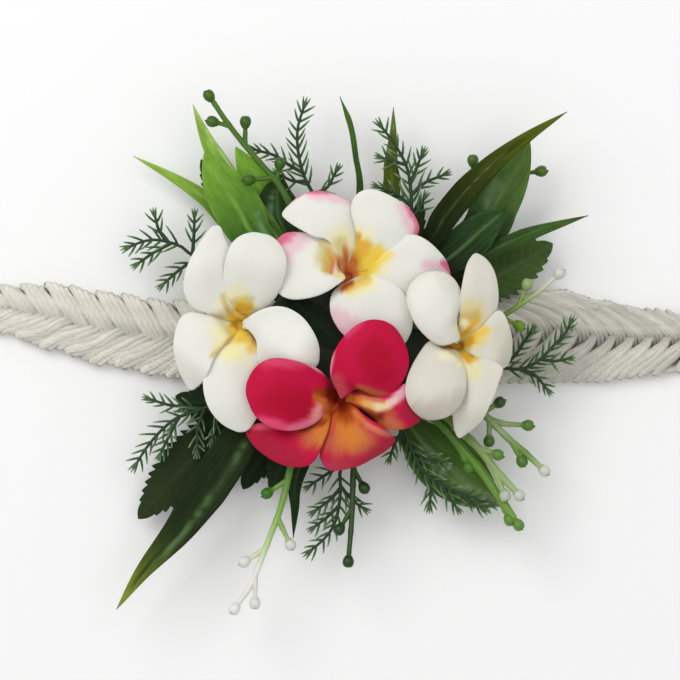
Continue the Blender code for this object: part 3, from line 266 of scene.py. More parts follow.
# Berry sprays: layer, stem radius, the main stem from the base outwards, and side stems, each with a berry
BERRY_SPRAYS = {
    "berry_spray_upper_left": (7, 1.15, [
        [(-13.6, 38.0), (-19.3, 48.7), (-24.0, 54.0), (-29.3, 60.2), (-34.6, 66.9), (-39.1, 73.5)],
        [(-34.2, 66.4), (-37.0, 67.1)], [(-29.5, 60.5), (-29.4, 65.0)], [(-19.8, 49.3), (-19.2, 52.2)],
        [(-21.0, 50.6), (-23.6, 50.2), (-25.6, 50.0)]]),
    "berry_spray_right": (2, 0.9, [
        [(35.4, 25.0), (42.0, 36.0), (50.0, 47.0), (55.0, 51.6), (60.2, 52.4)],
        [(41.2, 34.9), (41.4, 44.0), (41.5, 53.4)]]),
    "berry_spray_band_side": (6, 1.0, [
        [(44.0, 4.4), (51.8, 8.2), (56.4, 11.2), (61.1, 14.4), (66.2, 18.9)], [(55.4, 10.5), (57.2, 14.8)],
        [(50.0, 7.3), (53.4, 5.6)]]),
    "berry_spray_lower_right_outer": (5, 1.35, [
        [(37.0, -16.6), (44.6, -23.0), (52.3, -30.6), (57.0, -34.5), (61.6, -38.8)],
        [(44.4, -22.8), (47.4, -20.9)], [(46.2, -24.6), (50.6, -26.0), (55.8, -26.4)],
        [(53.4, -31.5), (55.4, -35.4)], [(46.6, -25.0), (46.5, -28.8)]]),
    "berry_spray_lower_right_middle": (7, 1.55, [
        [(29.0, -19.6), (36.0, -26.6), (43.5, -34.2), (48.6, -40.6), (53.8, -46.2)],
        [(43.0, -33.7), (46.4, -34.8)], [(47.6, -39.4), (50.2, -45.8)]]),
    "berry_spray_lower_right_inner": (6, 1.7, [
        [(25.4, -21.0), (32.4, -27.0), (37.3, -33.1), (43.6, -40.4), (49.4, -48.6), (53.9, -55.2)],
        [(50.0, -49.5), (51.6, -53.4)], [(37.2, -33.0), (39.0, -37.2)]]),
    "berry_spray_bottom_left": (6, 1.2, [
        [(-14.4, -35.0), (-15.6, -40.3), (-17.1, -47.2), (-19.1, -54.2), (-22.0, -61.7), (-27.5, -75.6),
         (-31.2, -81.2)], [(-26.4, -73.2), (-26.4, -79.0)], [(-16.4, -43.6), (-20.4, -46.2)],
        [(-19.5, -55.2), (-16.6, -61.2)], [(-23.3, -65.0), (-27.4, -67.5)]]),
    "berry_spray_bottom": (6, 1.1, [
        [(4.4, -36.0), (4.1, -41.0), (3.9, -48.7), (3.6, -56.5), (2.8, -66.2)],
        [(4.1, -40.0), (6.2, -43.7)], [(3.8, -52.4), (1.2, -56.6)]]),
}
BERRY_RADIUS = 1.85
# A bud-like berry: along and out from its middle, over its radius
BERRY_FORM = [
    (-1.1, 0.42), (-1.0, 0.62), (-0.84, 0.72), (-0.8, 0.66), (-0.62, 0.82), (-0.3, 0.96), (0.1, 1.0),
    (0.45, 0.93), (0.72, 0.76), (0.9, 0.56), (0.97, 0.34), (0.9, 0.16),
]
JOINT_PITCH = 7.5
JOINT_SWELL = 0.14
JOINT_LENGTH = 0.8
BERRY_STEM_TAPER = 0.72
# Radius of a side stem over the main one's
SIDE_STEM = 0.8

# Blooms: throat, foot on the knot, and petals clockwise. Each petal has its height at the middle and the
# tip, how far its edges tilt, how far it domes, its first edge from the funnel to the tip, which lies over
# the petal before it, and its second edge without the tip, which lies under the next petal
BLOOMS = {
    "plumeria_left": ((-31.1, 4.8, 29.0), (-20.0, 5.0), [
        (35.0, 31.5, 1.5, 1.6,
         [(-41.1, 8.3), (-45.6, 10.0), (-48.2, 14.5), (-48.2, 19.3), (-46.5, 24.5), (-43.7, 29.5),
          (-40.2, 34.5), (-38.4, 35.4)],
         [(-33.7, 16.3), (-33.4, 22.8), (-34.3, 28.6), (-35.7, 31.4), (-36.3, 33.4), (-36.9, 34.9)]),
        (36.2, 33.5, 1.2, 1.8,
         [(-35.7, 15.4), (-36.2, 19.3), (-35.4, 24.9), (-33.7, 29.5), (-30.9, 32.1), (-27.6, 33.1),
          (-24.2, 32.4)],
         [(-22.9, 10.2), (-19.8, 13.2), (-17.4, 18.4), (-16.4, 23.2), (-17.0, 27.1), (-19.0, 30.1),
          (-21.1, 31.8)]),
        (32.0, 28.2, 1.2, 1.2,
         [(-26.3, 8.5), (-22.4, 10.1), (-19.0, 10.5), (-15.5, 9.7), (-11.6, 7.2), (-8.6, 3.3), (-6.8, -0.6),
          (-6.3, -4.1), (-7.0, -7.8)],
         [(-25.9, 0.2), (-25.8, -4.1), (-25.0, -7.6), (-21.1, -10.0), (-15.9, -10.8), (-10.7, -10.0)]),
        (31.8, 29.4, -1.0, 1.6,
         [(-25.6, -0.8), (-24.9, -4.8), (-24.4, -9.2), (-23.9, -13.2), (-23.7, -17.1), (-24.4, -21.5),
          (-26.3, -24.9), (-28.1, -27.5), (-30.5, -28.5)],
         [(-38.8, -4.4), (-41.7, -8.9), (-42.4, -13.4), (-41.9, -17.6), (-40.4, -21.5), (-37.6, -25.1),
          (-34.1, -27.5)]),
        (33.0, 27.0, 1.5, 1.2,
         [(-36.3, -2.2), (-38.9, -5.6), (-40.4, -9.3), (-41.9, -12.3), (-43.7, -14.1), (-45.2, -15.2),
          (-46.5, -15.5)],
         [(-39.3, 7.4), (-44.1, 8.5), (-48.0, 8.3), (-50.4, 5.0), (-51.5, -0.2), (-51.2, -5.0),
          (-49.7, -10.0), (-47.8, -13.6)])]),
    "plumeria_top": ((2.4, 19.5, 28.0), (4.4, 15.4), [
        (32.5, 31.0, 1.2, 1.4,
         [(-1.2, 25.0), (-2.1, 28.8), (-4.5, 31.3), (-7.8, 31.8), (-11.4, 33.7), (-14.9, 35.8),
          (-17.3, 37.8), (-17.9, 39.2)],
         [(5.0, 29.7), (5.4, 33.7), (4.6, 38.4), (3.4, 42.4), (0.5, 43.9), (-2.7, 45.5), (-6.2, 46.2),
          (-9.8, 45.7), (-13.3, 44.1), (-16.1, 41.4)]),
        (32.5, 30.0, 1.2, 1.6,
         [(5.3, 30.5), (4.4, 36.0), (3.3, 40.4), (4.0, 43.5), (6.0, 45.8), (8.8, 46.6), (12.3, 46.1),
          (16.2, 44.3), (20.2, 41.8), (22.7, 39.0), (24.3, 35.7), (24.1, 32.7)],
         [(10.9, 22.8), (15.0, 25.2), (18.8, 27.6), (21.9, 29.8)]),
        (31.0, 27.5, 1.2, 1.4,
         [(10.7, 24.2), (14.3, 28.0), (17.4, 31.1), (20.6, 32.6), (23.7, 32.5), (26.9, 30.9), (30.0, 28.2),
          (32.4, 25.4), (33.6, 22.6), (34.2, 19.5)],
         [(10.3, 16.7), (15.5, 14.0), (20.2, 12.8), (24.9, 13.2), (29.6, 14.8), (32.8, 16.7)]),
        (30.5, 27.0, 1.2, 1.2,
         [(8.4, 19.5), (12.3, 19.3), (16.2, 17.7), (19.4, 15.2), (21.4, 11.6), (22.5, 7.3), (22.2, 2.9),
          (20.0, -1.0)],
         [(-2.1, 15.0), (-3.1, 12.0), (-3.0, 8.5), (-1.7, 5.3), (0.5, 2.1), (4.0, -0.6), (9.1, -2.6),
          (15.1, -2.8)]),
        (30.5, 28.0, 1.2, 1.4,
         [(-0.7, 17.1), (-3.5, 15.2), (-7.0, 13.6), (-11.0, 12.7), (-14.9, 12.5), (-18.4, 13.8),
          (-20.4, 17.1), (-21.2, 22.2)],
         [(-1.0, 23.0), (-1.0, 26.8), (-2.1, 30.1), (-4.9, 31.9), (-9.2, 32.9), (-13.3, 33.5),
          (-16.9, 33.2), (-19.6, 30.9), (-21.0, 27.0)])]),
    "plumeria_right": ((36.7, -1.8, 30.5), (24.6, 5.4), [
        (35.5, 35.0, 1.2, 1.4,
         [(37.0, 7.0), (36.8, 11.8), (37.5, 16.2), (38.5, 21.1), (39.7, 24.6), (41.8, 26.8)],
         [(46.2, 4.9), (48.5, 9.3), (49.0, 13.6), (48.5, 18.3), (47.2, 22.3), (44.8, 25.4)]),
        (33.5, 29.5, 1.2, 1.0,
         [(43.4, 3.7), (46.2, 6.9), (48.5, 9.1), (50.3, 8.7), (51.7, 6.1), (52.7, 2.9), (53.3, -0.6),
          (53.0, -4.1), (51.9, -7.5)],
         [(43.2, -6.2), (46.6, -8.6), (49.7, -9.2)]),
        (34.0, 28.5, 1.2, 1.2,
         [(44.2, -5.3), (48.5, -6.9), (50.5, -8.9), (49.5, -12.0), (48.1, -16.0), (46.6, -19.5),
          (44.6, -23.9), (41.4, -27.4), (37.0, -30.4)],
         [(36.7, -8.5), (35.9, -13.2), (35.1, -17.9), (34.8, -22.7), (35.2, -26.6), (36.0, -29.2)]),
        (36.5, 34.0, 1.2, 2.6,
         [(37.1, -4.9), (38.7, -8.1), (39.2, -12.4), (38.7, -16.8), (36.7, -20.9), (33.6, -23.5),
          (30.0, -24.5), (26.9, -24.3)],
         [(29.6, -0.6), (27.4, -0.4), (24.9, -3.4), (22.1, -8.1), (20.5, -12.4), (20.1, -16.0),
          (21.1, -19.7), (23.7, -22.8)]),
        (37.0, 35.0, 1.2, 2.6,
         [(32.0, -1.8), (28.8, -0.8), (25.7, 1.8), (22.9, 5.3), (21.1, 9.7), (20.6, 12.8), (21.3, 15.8)],
         [(35.9, 6.5), (37.1, 10.4), (37.7, 13.6), (36.7, 16.7), (34.7, 19.5), (32.0, 21.0), (28.8, 21.3),
          (25.7, 20.6), (22.9, 18.5)])]),
    "plumeria_pink": ((0.2, -18.6, 29.0), (-1.0, -12.6), [
        (36.8, 35.5, 1.2, 3.2,
         [(-4.9, -22.9), (-6.9, -25.2), (-9.9, -26.9), (-13.7, -27.9), (-17.4, -28.0), (-21.2, -27.1),
          (-24.5, -25.0), (-27.2, -21.8), (-29.0, -15.8)],
         [(-3.6, -12.0), (-7.4, -8.5), (-11.8, -7.0), (-15.9, -5.9), (-19.7, -5.5), (-23.0, -6.2),
          (-26.0, -8.3), (-28.1, -11.7)]),
        (36.2, 35.0, 1.2, 3.2,
         [(-2.7, -12.1), (-3.0, -8.0), (-2.1, -4.2), (0.2, -0.1), (3.5, 3.5), (6.9, 5.6), (10.7, 6.3),
          (15.0, 5.2)],
         [(4.7, -14.9), (7.7, -15.3), (10.3, -16.9), (13.3, -17.4), (16.3, -16.0), (18.9, -13.6),
          (20.8, -9.8), (21.3, -6.1), (20.4, -2.0), (18.2, 2.2)]),
        (32.6, 30.0, 1.6, 1.0,
         [(5.4, -14.6), (9.4, -15.4), (13.4, -16.4), (17.0, -15.4), (20.4, -13.2), (21.5, -16.9),
          (23.0, -21.4), (25.1, -24.6)],
         [(5.8, -22.9), (9.5, -25.6), (13.7, -27.4), (17.8, -27.9), (21.5, -27.1)]),
        (33.0, 28.0, 1.4, 1.4,
         [(4.6, -20.6), (7.6, -23.2), (10.8, -25.4), (13.2, -26.9), (15.5, -28.6), (17.1, -31.0)],
         [(-2.9, -23.7), (-3.8, -28.2), (-5.4, -32.3), (-6.4, -35.3), (-5.6, -38.1), (-3.4, -40.5),
          (0.9, -40.2), (5.8, -39.0), (10.3, -36.6), (14.4, -34.2)]),
        (31.6, 27.2, 1.4, 1.4,
         [(-3.0, -23.3), (-3.6, -27.8), (-5.1, -31.5), (-6.4, -34.9), (-7.7, -37.2), (-9.9, -38.9),
          (-12.9, -39.4), (-16.7, -39.0), (-20.4, -37.5), (-23.8, -35.3), (-26.8, -32.7), (-29.3, -28.6)],
         [(-6.9, -24.4), (-11.4, -26.7), (-15.9, -27.1), (-20.4, -26.3), (-24.2, -25.6), (-27.3, -26.3)])]),
}
PETAL_ROWS = 46
PETAL_COLUMNS = 29
PETAL_THICK = 1.0
# How often a petal's outline is smoothed
OUTLINE_EASE = 22
# Height above the throat at shares of the way out, of petals that close the bowl and of folded ones
BOWL_RISE = [(0.0, -3.4), (0.07, -1.6), (0.2, 2.4)]
FOLDED_RISE = [(0.0, 3.4), (0.16, 4.4)]
FOLDED_ROOT = 0.12
# The ridge round a petal's rim
RIM_WIDTH = 0.16
RIM_RISE = 0.42
PETAL_RIPPLE = 0.14
# The share of the way out at which a petal's middle height is given, and where it starts in the funnel
PETAL_MIDDLE = 0.62
PETAL_ROOT = 2.0
PETAL_ROOT_TURN = math.radians(46)
# The bloom's funnel: height from the throat and radius, up the outside and down into the hollow
FUNNEL = [(-5.4, 1.7), (-4.6, 2.6), (-2.6, 3.8), (-2.0, 4.0), (-2.8, 3.0), (-4.4, 1.2)]
# The post that it stands on and the stem between them
POST_RADIUS = 2.3
POST_HEIGHT = 2.6
BLOOM_STEM = 1.5

# Dark leaf tucked over the knot between the blooms
TUCKED_LEAF = (9.0, [(-17.5, 15.5, 22.9), (-9.0, 7.0, 23.3), (3.5, -3.5, 22.9)])

# Camera straight above: its height, its sensor, and the width that the photograph shows
CAMERA_HEIGHT = 2.0
CAMERA_SENSOR = 36.0
PHOTO_WIDTH = 0.2138

# Colours as the eye sees them, red, green, blue
WHITE_FOAM = (0.90, 0.90, 0.865)
GREY_FOAM = (0.845, 0.835, 0.785)
GOLD = (0.88, 0.69, 0.20)
BRIGHT_GOLD = (0.93, 0.80, 0.28)
DEEP_GOLD = (0.86, 0.66, 0.18)
PALE_GOLD = (0.93, 0.90, 0.72)
OCHRE = (0.74, 0.56, 0.18)
TAN = (0.80, 0.75, 0.52)
BROWN_OCHRE = (0.62, 0.43, 0.10)
ORANGE = (0.80, 0.45, 0.22)
DEEP_ORANGE = (0.76, 0.36, 0.13)
ROSE = (0.87, 0.40, 0.55)
BLUSH = (0.91, 0.77, 0.80)
MAGENTA = (0.76, 0.08, 0.255)
DARK_MAGENTA = (0.69, 0.05, 0.185)
LIGHT_ROSE = (0.88, 0.46, 0.58)
APRICOT = (0.81, 0.48, 0.20)
RUST = (0.58, 0.22, 0.05)
SHADOW_RED = (0.46, 0.12, 0.05)

# Paint on the petals: each bloom's base tint, and the strokes over it on each petal. A stroke has the x, y
# of its start and its end, a radius within which it is full, one at which it is gone, and its tint
BLOOM_BASE = {
    "plumeria_left": WHITE_FOAM,
    "plumeria_top": WHITE_FOAM,
    "plumeria_right": GREY_FOAM,
    "plumeria_pink": MAGENTA,
}
STROKES = {
    "plumeria_left": [
        [(-34.6, 10.4, -33.4, 7.8, 1.0, 6.0, PALE_GOLD), (-36.4, 13.6, -34.4, 8.0, 0.2, 1.5, TAN),
         (-40.0, 8.0, -34.0, 6.8, 0.2, 1.3, TAN), (-32.6, 7.0, -31.4, 6.0, 1.4, 3.2, GOLD)],
        [(-31.6, 13.0, -30.0, 9.0, 1.0, 6.6, PALE_GOLD), (-32.6, 12.0, -28.0, 12.6, 0.2, 2.4, TAN),
         (-30.2, 10.0, -30.2, 7.0, 1.6, 3.6, (0.92, 0.77, 0.28)),
         (-27.4, 10.6, -31.0, 11.2, 0.2, 1.5, DEEP_GOLD), (-32.0, 9.8, -27.6, 6.6, 0.1, 0.9, OCHRE)],
        # painted light: a brighter white wash over this petal, which lies under the others
        [(-18.0, 2.0, -13.0, 0.0, 3.0, 9.0, (0.945, 0.945, 0.915))],
        [(-31.4, -3.4, -29.8, 0.6, 0.6, 7.0, PALE_GOLD),
         (-34.6, -4.4, -31.0, 0.0, 0.2, 4.0, (0.94, 0.90, 0.66)),
         (-27.4, -2.6, -27.2, 1.4, 0.5, 2.8, (0.88, 0.74, 0.36)),
         (-26.2, -0.8, -26.6, 1.8, 0.3, 1.6, OCHRE), (-30.4, 0.8, -30.8, 3.6, 1.0, 3.4, BRIGHT_GOLD),
         (-28.6, 1.6, -29.8, 3.6, 0.2, 1.4, DEEP_GOLD), (-29.0, -4.6, -27.6, -8.4, 0.1, 1.4, PALE_GOLD)],
        [(-36.4, 2.4, -33.0, 3.4, 1.0, 6.4, PALE_GOLD),
         (-38.6, -3.4, -33.0, 0.2, 0.3, 2.6, (0.90, 0.86, 0.62)), (-39.8, -5.0, -32.6, 0.2, 0.1, 1.2, TAN),
         (-35.0, -1.0, -32.4, 1.2, 0.2, 1.5, GOLD), (-33.0, 3.0, -32.0, 3.6, 0.9, 3.0, BRIGHT_GOLD),
         (-34.2, 4.2, -31.6, 3.9, 0.2, 0.9, DEEP_GOLD)],
    ],
    "plumeria_top": [
        [(0.4, 31.6, 1.8, 25.0, 1.2, 6.0, PALE_GOLD), (0.0, 30.2, 1.4, 25.4, 0.6, 3.2, TAN),
         (-0.6, 24.4, 0.6, 19.8, 1.3, 2.4, (0.84, 0.60, 0.38)), (1.3, 28.4, 2.0, 19.0, 0.2, 1.2, ORANGE),
         (2.2, 22.4, 2.5, 18.8, 0.5, 1.7, DEEP_ORANGE), (-2.0, 44.6, 3.4, 42.6, 0.1, 2.6, BLUSH),
         (-9.0, 44.9, -2.0, 43.8, 0.2, 2.6, BLUSH), (-4.0, 46.2, -10.8, 46.8, 0.7, 2.2, (0.85, 0.38, 0.52)),
         (-10.8, 46.8, -17.0, 42.6, 0.6, 1.9, (0.85, 0.38, 0.52))],
        [(6.4, 31.8, 5.4, 25.0, 1.6, 5.6, PALE_GOLD), (6.0, 32.4, 6.4, 22.0, 0.3, 1.6, DEEP_GOLD),
         (8.0, 29.0, 6.8, 22.4, 0.9, 3.2, GOLD), (11.6, 26.6, 8.6, 22.6, 1.3, 4.4, BRIGHT_GOLD),
         (4.6, 26.8, 3.8, 20.6, 0.5, 1.6, DEEP_GOLD), (4.2, 24.4, 3.2, 19.4, 1.0, 2.3, ORANGE),
         (23.0, 32.4, 19.2, 41.2, 0.4, 3.2, BLUSH), (24.4, 31.4, 24.6, 36.0, 0.7, 2.7, (0.82, 0.38, 0.48)),
         (24.6, 36.0, 21.2, 41.6, 0.5, 2.3, (0.86, 0.42, 0.55))],
        [(11.4, 23.2, 7.4, 21.4, 1.8, 6.4, PALE_GOLD),
         (14.4, 26.4, 8.4, 22.4, 0.3, 3.2, (0.94, 0.84, 0.42)),
         (9.6, 23.6, 6.0, 20.8, 1.7, 3.8, BRIGHT_GOLD), (8.0, 25.4, 5.6, 21.0, 0.5, 2.0, DEEP_GOLD),
         (4.8, 21.0, 3.0, 19.6, 0.9, 1.9, ORANGE), (26.6, 23.4, 32.2, 22.0, 0.3, 2.8, BLUSH),
         (34.4, 20.6, 31.8, 24.0, 0.2, 1.6, ROSE)],
        [(9.4, 17.2, 3.8, 15.0, 1.0, 3.4, PALE_GOLD), (8.8, 18.4, 2.6, 15.4, 0.5, 1.9, (0.90, 0.78, 0.38)),
         (3.8, 17.2, 1.0, 15.4, 0.2, 1.4, DEEP_ORANGE), (-2.6, 4.2, 4.4, 0.0, 0.6, 4.8, (0.90, 0.62, 0.72)),
         (-1.0, 7.6, 5.0, 3.4, 0.6, 4.4, BLUSH)],
        [(-17.6, 26.6, -11.4, 32.4, 0.8, 4.4, BLUSH), (-21.4, 28.6, -15.4, 34.0, 0.9, 3.6, ROSE),
         (-5.4, 24.6, -4.6, 29.4, 0.5, 3.6, TAN), (-4.2, 21.6, -3.2, 27.0, 0.3, 2.3, (0.76, 0.64, 0.28)),
         (-2.8, 20.8, -2.2, 25.0, 0.1, 1.2, ORANGE), (-1.2, 25.8, -0.2, 21.6, 0.5, 1.5, (0.84, 0.60, 0.38)),
         (-1.4, 19.9, 1.2, 19.4, 0.3, 1.1, (0.93, 0.86, 0.58))],
    ],
    "plumeria_right": [
        [(40.8, 8.6, 39.8, 4.6, 1.2, 6.0, (0.86, 0.79, 0.56)),
         (41.6, 7.4, 38.6, 6.6, 0.4, 3.2, (0.80, 0.70, 0.40)),
         (38.6, 5.4, 39.4, 3.6, 0.4, 2.0, (0.93, 0.89, 0.72)), (42.6, 6.4, 36.8, 0.6, 0.3, 1.3, GOLD)],
        # painted shade: grey over this petal's far side
        [(50.6, 3.0, 52.0, -6.0, 1.0, 6.0, (0.80, 0.79, 0.72)),
         (43.4, 1.6, 40.2, -0.4, 1.2, 4.6, (0.90, 0.84, 0.58)),
         (44.6, 3.0, 39.6, -1.0, 0.3, 2.8, (0.90, 0.75, 0.32)),
         (40.6, -0.2, 37.6, -1.0, 0.8, 2.0, DEEP_GOLD)],
        [(40.8, -9.4, 39.2, -4.0, 1.4, 5.0, (0.88, 0.85, 0.66)),
         (42.2, -5.0, 38.6, -2.2, 0.4, 2.3, DEEP_GOLD), (40.2, -6.2, 37.8, -2.4, 1.0, 1.9, DEEP_GOLD)],
        [(31.6, -4.8, 36.6, -5.2, 0.4, 2.4, (0.92, 0.90, 0.76)),
         (31.6, -1.8, 36.2, -2.0, 0.9, 1.7, BROWN_OCHRE),
         (36.6, -7.8, 37.4, -4.4, 0.2, 1.4, (0.92, 0.88, 0.66)),
         # painted shade: grey over the lower part of this dome
         (24.0, -23.4, 38.0, -19.0, 0.6, 6.4, (0.75, 0.73, 0.67))],
        # painted light: a whiter wash over this petal, above the bloom's grey base
        [(26.0, 14.0, 32.0, 8.0, 3.0, 11.0, (0.90, 0.90, 0.865)),
         (35.6, 5.6, 36.4, 2.0, 0.4, 1.5, (0.88, 0.86, 0.74))],
    ],
    "plumeria_pink": [
        [(-19.6, -19.0, -13.0, -20.6, 1.4, 8.4, DARK_MAGENTA),
         (-23.0, -7.0, -12.0, -7.0, 0.2, 3.4, (0.84, 0.26, 0.40)),
         (-11.4, -6.6, -4.6, -10.2, 0.2, 1.3, (0.88, 0.62, 0.68)),
         (-24.0, -24.6, -14.6, -28.0, 0.4, 2.9, (0.87, 0.30, 0.45)),
         (-14.6, -28.0, -6.6, -24.6, 0.9, 3.2, LIGHT_ROSE),
         (-7.8, -23.6, -6.4, -20.4, 0.5, 2.8, (0.88, 0.56, 0.54)),
         (-6.6, -16.2, -3.4, -16.2, 0.7, 2.1, RUST),
         (-7.8, -17.7, -5.4, -18.8, 0.4, 1.8, (0.74, 0.38, 0.15)),
         (-4.0, -22.0, -1.6, -19.0, 0.5, 1.6, (0.66, 0.30, 0.09)),
         (-5.2, -19.0, -4.2, -22.4, 0.4, 1.6, APRICOT), (-3.0, -16.4, -1.6, -18.4, 0.8, 2.4, SHADOW_RED)],
        [(10.8, -4.2, 12.0, -9.0, 1.6, 8.0, DARK_MAGENTA),
         (2.0, 2.2, 6.0, 5.6, 0.3, 2.8, (0.84, 0.26, 0.40)),
         (-3.2, -12.4, -2.0, -3.6, 0.1, 1.0, (0.88, 0.56, 0.62)),
         (-0.6, -12.0, 1.0, -16.6, 0.8, 3.2, (0.74, 0.26, 0.32)),
         (-2.6, -14.6, 0.0, -18.4, 0.1, 0.9, (0.86, 0.50, 0.42)),
         (6.2, -14.6, 14.6, -17.4, 0.5, 2.0, (0.72, 0.36, 0.24))],
        [(9.4, -24.0, 14.0, -25.0, 1.2, 4.6, (0.66, 0.30, 0.12)),
         (15.4, -24.4, 17.0, -26.4, 0.6, 4.6, (0.76, 0.40, 0.28)),
         (21.4, -22.0, 25.8, -24.0, 0.8, 4.0, (0.68, 0.14, 0.25)),
         (3.0, -19.6, 7.4, -22.0, 0.8, 2.2, SHADOW_RED),
         # painted shadow: dark along the fold, below the edge of the petal before it
         (5.8, -21.2, 12.2, -23.2, 0.4, 2.4, (0.52, 0.18, 0.07)),
         (2.4, -17.6, 7.2, -19.0, 0.8, 2.1, (0.84, 0.48, 0.20)),
         (8.4, -19.4, 11.4, -20.6, 0.7, 2.4, (0.90, 0.68, 0.40)),
         (12.0, -20.6, 14.6, -19.8, 0.7, 2.4, (0.91, 0.82, 0.64)),
         (16.0, -19.0, 18.4, -17.2, 0.6, 2.2, (0.90, 0.76, 0.72)),
         (18.8, -16.8, 22.4, -12.6, 0.7, 2.0, (0.88, 0.66, 0.73)),
         (7.4, -17.6, 13.4, -18.8, 0.2, 1.2, (0.82, 0.46, 0.34)),
         # painted shade: the rolled petal's inner side, dark under the edge of the petal before it
         (5.0, -15.2, 10.6, -16.6, 0.8, 1.5, (0.50, 0.18, 0.07)),
         # painted shadow: a near-black crescent in the gap where the next petal runs under this one
         (6.2, -21.5, 10.9, -24.9, 0.35, 0.95, (0.10, 0.03, 0.03))],
        [(7.4, -31.4, -0.8, -31.4, 1.6, 7.6, (0.76, 0.38, 0.27)),
         (3.4, -29.6, 1.6, -24.0, 2.0, 6.4, APRICOT),
         (2.2, -23.4, 1.0, -20.4, 1.0, 4.2, (0.62, 0.27, 0.07)),
         (0.8, -20.6, 0.4, -18.8, 0.8, 3.0, SHADOW_RED),
         (4.8, -22.6, 8.4, -26.2, 0.3, 1.5, (0.80, 0.46, 0.24)),
         (8.4, -26.4, 15.4, -29.4, 0.3, 1.6, (0.82, 0.46, 0.36)),
         (-4.4, -39.4, 6.0, -39.4, 0.8, 4.4, (0.69, 0.21, 0.29)),
         (6.0, -39.4, 16.8, -31.4, 0.8, 4.2, (0.69, 0.16, 0.25))],
        [(-9.0, -30.0, -5.6, -26.0, 1.0, 6.6, (0.76, 0.38, 0.24)),
         # the rust-coloured line just beyond the first petal's rim is painted shadow cast by that rim
         (-5.6, -30.6, -2.6, -23.0, 0.8, 4.2, APRICOT), (-12.0, -27.8, -5.6, -25.4, 0.4, 1.9, RUST),
         (-2.8, -22.4, -2.0, -18.6, 0.7, 2.4, (0.66, 0.28, 0.08)),
         (-28.0, -30.0, -14.0, -38.4, 1.2, 6.2, (0.67, 0.12, 0.235)),
         (-28.6, -27.0, -20.0, -27.0, 0.3, 1.6, (0.84, 0.34, 0.42))],
    ],
}
FUNNEL_TINTS = {
    "plumeria_left": (0.88, 0.70, 0.18),
    "plumeria_top": (0.74, 0.34, 0.10),
    "plumeria_right": (0.78, 0.58, 0.16),
    "plumeria_pink": (0.46, 0.12, 0.04),
}
POST_TINT = (0.20, 0.32, 0.12)
# How deep rays cut into a stroke's edge, and the waves round the throat that make them: size, count, shift
RAY_DEPTH = 0.08
RAYS = ((1.0, 21.0, 1.0), (0.7, 38.0, 0.0), (0.5, 67.0, 2.0))
# Petals whose base folds to a point over the throat: where the point is
FOLDED_BASES = {
    ("plumeria_left", 2): (-30.3, 5.6),
    ("plumeria_top", 4): (1.85, 19.1),
    ("plumeria_right", 4): (37.0, -0.3),
    ("plumeria_pink", 1): (0.2, -18.2),
}

# Leaves: tint near the stem, at the tip, and of the midrib
LEAF_TINTS = {
    "bamboo_leaf_left": ((0.24, 0.40, 0.12), (0.58, 0.73, 0.27), (0.60, 0.75, 0.32)),
    "bamboo_leaf_upper_left": ((0.22, 0.38, 0.11), (0.56, 0.72, 0.27), (0.62, 0.76, 0.34)),
    "bamboo_leaf_top": ((0.14, 0.24, 0.09), (0.26, 0.40, 0.13), (0.36, 0.46, 0.22)),
    "bamboo_leaf_top_right": ((0.20, 0.25, 0.06), (0.38, 0.44, 0.12), (0.44, 0.48, 0.16)),
    "bamboo_leaf_right": ((0.05, 0.10, 0.01), (0.34, 0.39, 0.05), (0.13, 0.18, 0.03)),
    "bamboo_leaf_far_right": ((0.10, 0.18, 0.07), (0.26, 0.37, 0.14), (0.30, 0.42, 0.20)),
    "bamboo_leaf_lower_left": ((0.10, 0.16, 0.04), (0.50, 0.56, 0.17), (0.09, 0.13, 0.04)),
    "bamboo_leaf_bottom": ((0.09, 0.16, 0.06), (0.12, 0.20, 0.08), (0.20, 0.30, 0.15)),
    "broad_leaf_left": ((0.18, 0.34, 0.09), (0.46, 0.64, 0.21), (0.50, 0.66, 0.28)),
    "broad_leaf_behind": ((0.24, 0.40, 0.11), (0.51, 0.71, 0.22), (0.52, 0.69, 0.28)),
    "broad_leaf_dark_left": ((0.09, 0.16, 0.06), (0.17, 0.27, 0.10), (0.30, 0.42, 0.24)),
    "broad_leaf_right": ((0.10, 0.18, 0.07), (0.33, 0.45, 0.19), (0.36, 0.48, 0.26)),
    "broad_leaf_dark_right": ((0.08, 0.14, 0.06), (0.17, 0.28, 0.13), (0.34, 0.46, 0.28)),
    "broad_leaf_lower_right": ((0.20, 0.32, 0.11), (0.35, 0.47, 0.20), (0.42, 0.52, 0.31)),
    "toothed_leaf_right": ((0.20, 0.30, 0.14), (0.29, 0.38, 0.18), (0.31, 0.41, 0.22)),
    "toothed_leaf_lower_left": ((0.11, 0.16, 0.07), (0.18, 0.23, 0.11), (0.19, 0.25, 0.12)),
    "toothed_leaf_left": ((0.10, 0.17, 0.08), (0.13, 0.20, 0.09), (0.16, 0.25, 0.12)),
    "toothed_leaf_bottom": ((0.08, 0.14, 0.06), (0.11, 0.18, 0.08), (0.14, 0.22, 0.11)),
    "toothed_leaf_bottom_inner": ((0.08, 0.14, 0.06), (0.12, 0.19, 0.09), (0.15, 0.23, 0.11)),
    "toothed_leaf_upper_left": ((0.11, 0.19, 0.09), (0.16, 0.26, 0.12), (0.20, 0.31, 0.16)),
    "toothed_leaf_top": ((0.12, 0.20, 0.09), (0.17, 0.28, 0.12), (0.20, 0.32, 0.15)),
    "toothed_leaf_inner_right": ((0.10, 0.17, 0.07), (0.15, 0.24, 0.11), (0.19, 0.30, 0.14)),
    "tucked_leaf": ((0.06, 0.11, 0.05), (0.08, 0.14, 0.06), (0.10, 0.17, 0.08)),
}
# The share of a leaf's length where the tip's tint begins, and the leaves that stay dark for longer
PALING = 0.15
LATE_TINTS = {"bamboo_leaf_lower_left": 0.6}
